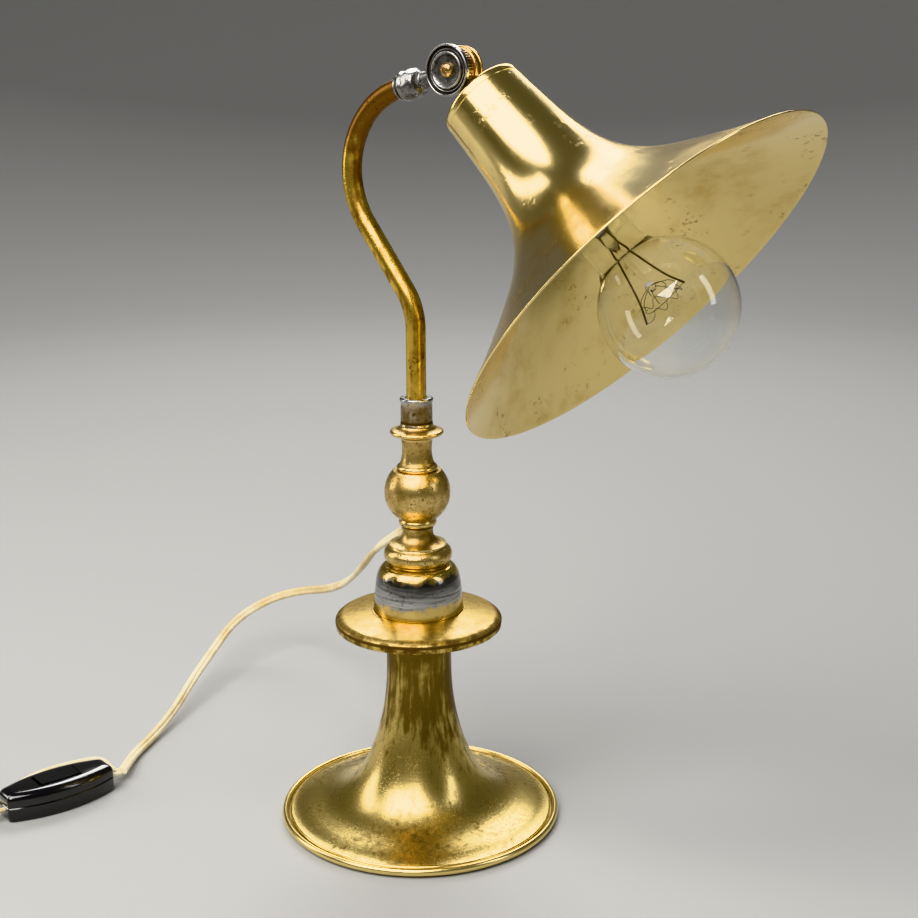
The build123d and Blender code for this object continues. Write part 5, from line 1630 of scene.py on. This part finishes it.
@dataclass
class FlexRun:
    """The cream flex from the column to the switch, its parted cores, the stored coil and the plug."""

    shop: Workshop
    width: float = 5.0
    thick: float = 3.1
    core_d: float = 2.4
    coil_x: float = -200.0
    coil_y: float = -190.0
    coil_r: float = 28.5
    switch_x: float = -155.6
    switch_y: float = -104.4
    switch_turn: float = math.radians(255.3)
    switch_half: float = 29.0
    switch_wide: float = 12.5
    switch_end: float = 6.0
    switch_split: float = 7.8
    switch_top: float = 15.0
    switch_wall: float = 1.8
    opening_half: Pair = (11.4, 5.9)
    core_level: float = 6.0
    bypass_level: float = 12.6
    lead_route: tuple[Triple, ...] = (
        (-0.01008, 0.00582, 0.14755),
        (-0.0269, 0.0155, 0.1372),
        (-0.058, 0.038, 0.119),
        (-0.088, 0.061, 0.095),
        (-0.118, 0.083, 0.074),
        (-0.151, 0.104, 0.057),
        (-0.186, 0.121, 0.044),
        (-0.205, 0.117, 0.0375),
        (-0.215, 0.102, 0.031),
        (-0.214, 0.082, 0.026),
        (-0.204, 0.057, 0.0205),
        (-0.193, 0.029, 0.014),
        (-0.179, -0.001, 0.007),
        (-0.1695, -0.026, 0.0034),
        (-0.1625, -0.045, 0.003),
        (-0.154, -0.058, 0.0045),
        (-0.1463, -0.0688, 0.006),
    )

    def build(self) -> None:
        """Builds the flex and everything on it."""
        self.declare(self.lead(), self.cores(), self.switch(), self.stored())

    def beside(self, lengthwise: float, sideways: float, level: float) -> Vector:
        """Gives a point from its place along and across the switch, and its height, in millimetres."""
        c, s = math.cos(self.switch_turn), math.sin(self.switch_turn)
        x = self.switch_x + c * lengthwise + s * sideways
        return Vector((x, self.switch_y + s * lengthwise - c * sideways, level))

    def lead(self) -> bpy.types.Object:
        """Lays the flex from the bushing down to the switch, turning slowly as it goes."""
        self.lead_line = smooth_route(self.lead_route)
        section = twin_section(self.width, self.thick)

        def twist(share: float) -> float:
            """Turns the flex on edge near the column, at mid run and by the switch."""
            return math.radians(58 + 28 * math.cos(share * math.tau * 2.2)) * min(1.0, (1 - share) * 5)

        line = [p / MM for p in self.lead_line]
        flex = tube("flex_lead_laid", line, section, twist, lay_flat=True)
        return self.shop.seat(flex, Body.BASE, "cream_flex", Finish.CREAM_FLEX, replaces=("flex_lead",))

    def cores(self) -> list[bpy.types.Object]:
        """Lays the core that passes round the switch, and keeps the two that enter it."""
        half, shift = self.switch_half, self.core_d / 2 + 0.05
        bulge = self.switch_wide + self.core_d / 2
        low, high = self.core_level, self.bypass_level
        bends = (
            (-half - 6.4, shift, low), (-half - 3.6, shift + 0.8, 7.0), (-half - 1.2, 9.2, high),
            (-half + 12, bulge - 0.9, high), (0, bulge + 0.7, high), (half - 12, bulge - 0.9, 10.6),
            (half - 1, 9.4, 7.5), (half + 3.4, shift + 0.6, low), (half + 6.4, shift, low),
        )
        line = smooth_route([tuple(self.beside(*b) * MM) for b in bends])
        core = tube("bypass_core_laid", [p / MM for p in line], circle(self.core_d / 2, 20))
        self.shop.seat(core, Body.BASE, "cream_flex", Finish.CREAM_FLEX, replaces=("bypass_core",))
        kept = ("switched_core_in", "switched_core_out")
        return [core] + [self.shop.keep(node, Finish.CREAM_FLEX) for node in kept]

    def outline(self, margin: float, steps: int = 30) -> list[Pair]:
        """Gives the switch's plan pulled in by a margin: blunt ends and two bowed sides."""
        half, wide, end = self.switch_half - margin, self.switch_wide - margin, self.switch_end - margin * 0.6
        sides = tuple(arc((-k * half, -k * end), (0, -k * wide), (k * half, -k * end), steps) for k in (1, -1))
        pts: list[Pair] = []
        for side, other in (sides, sides[::-1]):
            knee, next_knee, tip = side[-1], other[0], (side[-1][0], 0.0)
            pts += side[1:-1]
            pts += rounded([(*side[-2], 0), (*knee, 1.4), (*tip, 0)], 6)[1:]
            pts += rounded([(*tip, 0), (*next_knee, 1.4), (*other[1], 0)], 6)[1:-1]
        return pts

    def opening(self) -> list[Pair]:
        """Gives the rocker's oblong opening, with a point for each of the plan's."""
        wide, deep = self.opening_half
        pts = []
        for x, y in self.outline(5.0):
            reach = max(abs(x) / wide, abs(y) / deep)
            pts.append((x / reach, y / reach))
        for corner in ((wide, deep), (wide, -deep), (-wide, deep), (-wide, -deep)):
            pts[min(range(len(pts)), key=lambda k: math.dist(pts[k], corner))] = corner
        return pts

    def cover(self) -> bpy.types.Object:
        """Moulds the switch's upper shell: soft shoulders, a hollow inside and the rocker's opening."""
        split, top, wall = self.switch_split, self.switch_top, self.switch_wall
        outside = (
            (0.35, split), (0.0, split + 0.4), (0.0, 11.0), (0.25, 12.3), (0.9, 13.5), (1.9, 14.3), (3.2, 14.8),
            (4.6, top - 0.02),
        )
        rings = [[(x, y, z) for x, y in self.outline(margin)] for margin, z in outside]
        rings += [[(x, y, z) for x, y in self.opening()] for z in (top, top - wall)]
        rings += [[(x, y, z) for x, y in self.outline(wall + 0.6)] for z in (top - wall, split)]
        bm = bmesh.new()
        verts = [[bm.verts.new(self.beside(x, -y, z)) for x, y, z in ring] for ring in rings]
        skin(bm, verts + verts[:1])
        return finish_mesh(bm, "switch_cover_moulded", sharp=COVER_SHARP_TURN)

    def tray(self) -> bpy.types.Object:
        """Moulds the switch's lower shell: the plan at each margin and height, closed at both ends."""
        split = self.switch_split
        layers = ((1.4, 0.1), (0.5, 0.4), (0.05, 1.4), (0, 3.0), (0, split - 0.5), (0.4, split))
        bm = bmesh.new()
        rings = [[bm.verts.new(self.beside(x, -y, z)) for x, y in self.outline(m)] for m, z in layers]
        skin(bm, rings)
        bm.faces.new(rings[0])
        bm.faces.new(rings[-1])
        return finish_mesh(bm, "switch_base_moulded")

    def switch(self) -> list[bpy.types.Object]:
        """Moulds the switch's two shells round the drawn rocker."""
        shells = [
            self.shop.seat(shell, Body.BASE, "black_gloss", Finish.BLACK_GLOSS, replaces=(node,))
            for shell, node in ((self.tray(), "switch_lower_shell"), (self.cover(), "switch_upper_shell"))
        ]
        self.shop.keep("switch_rocker", Finish.BLACK_GLOSS)
        return shells + [self.shop.keep("switch_screws", Finish.PLATED_STEEL)]

    def coil_points(self) -> list[Triple]:
        """Winds the stored flex clockwise, in a bundle of turns, with half a turn to finish."""
        r, apart = self.coil_r, self.width / 2
        low = 0.9 + apart
        mid = low + self.width * math.sin(math.radians(60))
        top = 2 * mid - low
        lanes = (
            (r + apart, low), (r - apart, low), (r - 2 * apart, mid), (r, mid), (r - apart, top),
            (r + apart, top), (r + 2 * apart, mid),
        )
        per_turn, crossing = 16, 4
        pts: list[Triple] = []
        for k in range((len(lanes) - 1) * per_turn + per_turn // 2 + 1):
            turn, part = divmod(k, per_turn)
            a, b = lanes[turn], lanes[min(turn + 1, len(lanes) - 1)]
            ease = max(0.0, (part - per_turn + crossing) / crossing)
            radius, level = a[0] + (b[0] - a[0]) * ease, a[1] + (b[1] - a[1]) * ease
            angle, spread = -math.tau * k / per_turn, radius / math.cos(math.pi / per_turn)
            x, y = self.coil_x + spread * math.cos(angle), self.coil_y + spread * math.sin(angle)
            pts.append((x * MM, y * MM, level * MM))
        return pts

    def stored(self) -> bpy.types.Object:
        """Lays the flex from the switch through the coil to the plug."""
        start = self.beside(self.switch_half + 6.2, 0.0, self.core_level)
        way = Vector((math.cos(self.switch_turn), math.sin(self.switch_turn), 0))
        coil = self.coil_points()
        plug = Vector(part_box("plug_body")[0])
        mouth = Vector((-0.2345, plug.y, 0.0065))
        first = Vector((self.coil_x + self.coil_r + 2.5, self.coil_y, 3.4))
        run = [tuple(p * MM) for p in (start, start + way * 12, first + Vector((0, 21, 0)))]
        x, y, z = coil[-1]
        leave = [(x, y + 0.011, z), (mouth.x, mouth.y - 0.009, mouth.z), tuple(mouth)]
        self.store_line = smooth_route(run + coil + leave)
        section = twin_section(self.width - 0.1, self.thick + 0.4, 6)
        flex = tube("flex_stored", [p / MM for p in self.store_line], section, lay_flat=True)
        nodes = ("flex_tail", "flex_coil", "flex_end")
        return self.shop.seat(flex, Body.BASE, "cream_flex", Finish.CREAM_FLEX, replaces=nodes)

    def declare(
        self, lead: bpy.types.Object, cores: list[bpy.types.Object], switch: list[bpy.types.Object],
        stored: bpy.types.Object,
    ) -> None:
        """Gives the plug, its pins and the coil's tie their finishes, and logs the stored flex's length."""
        finishes = {
            "plug_body": Finish.BLACK_GLOSS, "plug_pins": Finish.PINS, "coil_tie": Finish.BLACK_MATTE
        }
        plug = [self.shop.keep(node, finish) for node, finish in finishes.items()]
        length = sum((b - a).length for a, b in zip(self.store_line, self.store_line[1:]))
        log.info("stored flex %.3f m", length)


# ---------------------------------------------------------------- what stays as drawn


KEPT: dict[str, Finish] = {
    "felt_pad": Finish.FELT,
    "base_weight": Finish.CAST_IRON,
    "tie_rod": Finish.PLATED_STEEL,
    "tie_rod_washer": Finish.PLATED_STEEL,
    "tie_rod_nut": Finish.PLATED_STEEL,
    "column_nipple": Finish.PLATED_STEEL,
    "column_flex": Finish.CREAM_FLEX,
    "stem_flex": Finish.CREAM_FLEX,
    "spring_washer": Finish.PLATED_STEEL,
    "shade_nipple": Finish.PLATED_STEEL,
    "cap_locknut": Finish.PLATED_STEEL,
    "porcelain_core": Finish.PORCELAIN,
    "screw_shell": Finish.CONTACT_BRASS,
    "centre_contact": Finish.CONTACT_BRASS,
    "terminal_screws": Finish.CONTACT_BRASS,
    "bulb_contact": Finish.SOLDER,
    "bulb_insulator": Finish.VITRITE,
}


def dress_kept(shop: Workshop) -> None:
    """Gives the drawn pieces that stay their finishes."""
    for node, finish in KEPT.items():
        shop.keep(node, finish)
    bare = sorted(set(shop.frame["nodes"]) - shop.covered)
    if bare:
        log.warning("no finish on %s", bare)


# ---------------------------------------------------------------- studio


@dataclass
class Studio:
    """A pale floor, soft lights and the camera."""

    eye: Triple = (0.4472, -0.5705, 0.3784)
    sight: Triple = (-0.5747, 0.7767, -0.2579)
    roll: float = math.radians(0.18)
    lens: float = 61.23
    sensor: float = 36.0
    aim: Triple = (0.02, 0.0, 0.20)
    flat_r: float = 1500.0
    bend_r: float = 1500.0
    wall_h: float = 2400.0

    def build(self) -> None:
        """Sets the studio up."""
        self.camera()
        self.floor()
        self.lights()

    def camera(self) -> None:
        """Places the camera."""
        way = Vector(self.sight).normalized()
        right = way.cross(Vector((0, 0, 1))).normalized()
        up = right.cross(way)
        c, s = math.cos(self.roll), math.sin(self.roll)
        right, up = right * c - up * s, right * s + up * c
        data = bpy.data.cameras.new("camera")
        data.lens, data.sensor_width, data.clip_start = self.lens, self.sensor, 0.01
        obj = bpy.data.objects.new("camera", data)
        obj.matrix_world = Matrix.Translation(self.eye) @ Matrix((right, up, -way)).transposed().to_4x4()
        bpy.context.collection.objects.link(obj)
        bpy.context.scene.camera = obj

    def floor(self) -> None:
        """Lays the pale floor, which sweeps up into a round backdrop."""
        r = self.bend_r
        turns = np.linspace(0, math.pi / 2, 40)
        bend = [(self.flat_r + r * math.sin(t), r - r * math.cos(t)) for t in turns]
        outline = [(0.0, 0.0)] + bend + [(self.flat_r + r, self.wall_h)]
        floor = lathe("floor", outline, closed=False, segments=96, longest=400)
        g = Graph("floor")
        g.set(Base_Color=(0.36, 0.36, 0.355), Roughness=0.8)
        floor.data.materials.append(g.material)

    def lights(self) -> None:
        """Hangs the soft lights and sets a dim room round them."""
        for name, place, size, power, tint in (
            ("key", (0.10, -1.00, 1.38), (1.6, 1.2), 46.0, (1.0, 0.98, 0.95)),
            ("left", (-1.25, -0.60, 0.80), (0.40, 1.2), 8.0, (1.0, 0.97, 0.92)),
            ("right", (1.30, 0.30, 0.90), (0.25, 1.0), 3.0, (0.95, 0.97, 1.0)),
            ("back", (-0.75, 1.15, 1.35), (1.3, 0.7), 22.0, (1.0, 0.99, 0.97)),
        ):
            data = bpy.data.lights.new(name, "AREA")
            data.shape, data.size, data.size_y = "RECTANGLE", *size
            data.energy, data.color = power, tint
            obj = bpy.data.objects.new(name, data)
            aim = Vector(self.aim) - Vector(place)
            obj.matrix_world = Matrix.Translation(place) @ aim.to_track_quat("-Z", "Y").to_matrix().to_4x4()
            bpy.context.collection.objects.link(obj)
        world = bpy.data.worlds.new("room")
        bpy.context.scene.world = world
        world.use_nodes = True
        back = world.node_tree.nodes["Background"]
        back.inputs["Color"].default_value = (0.86, 0.87, 0.9, 1.0)
        back.inputs["Strength"].default_value = 0.13
        bpy.context.scene.view_settings.view_transform = "Khronos PBR Neutral"
        bpy.context.scene.view_settings.look = "None"


def main() -> None:
    """Builds the lamp and its studio."""
    logging.basicConfig(level=logging.INFO, format="%(name)s: %(message)s")
    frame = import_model()
    shop = Workshop(Paint(), frame)
    Studio().build()
    for part in (FlexRun(shop), FootAndColumn(shop), Stem(shop), Knuckle(shop), Shade(shop), Bulb(shop)):
        part.build()
        log.info("%s built", type(part).__name__)
    dress_kept(shop)


if __name__ == "__main__":
    main()
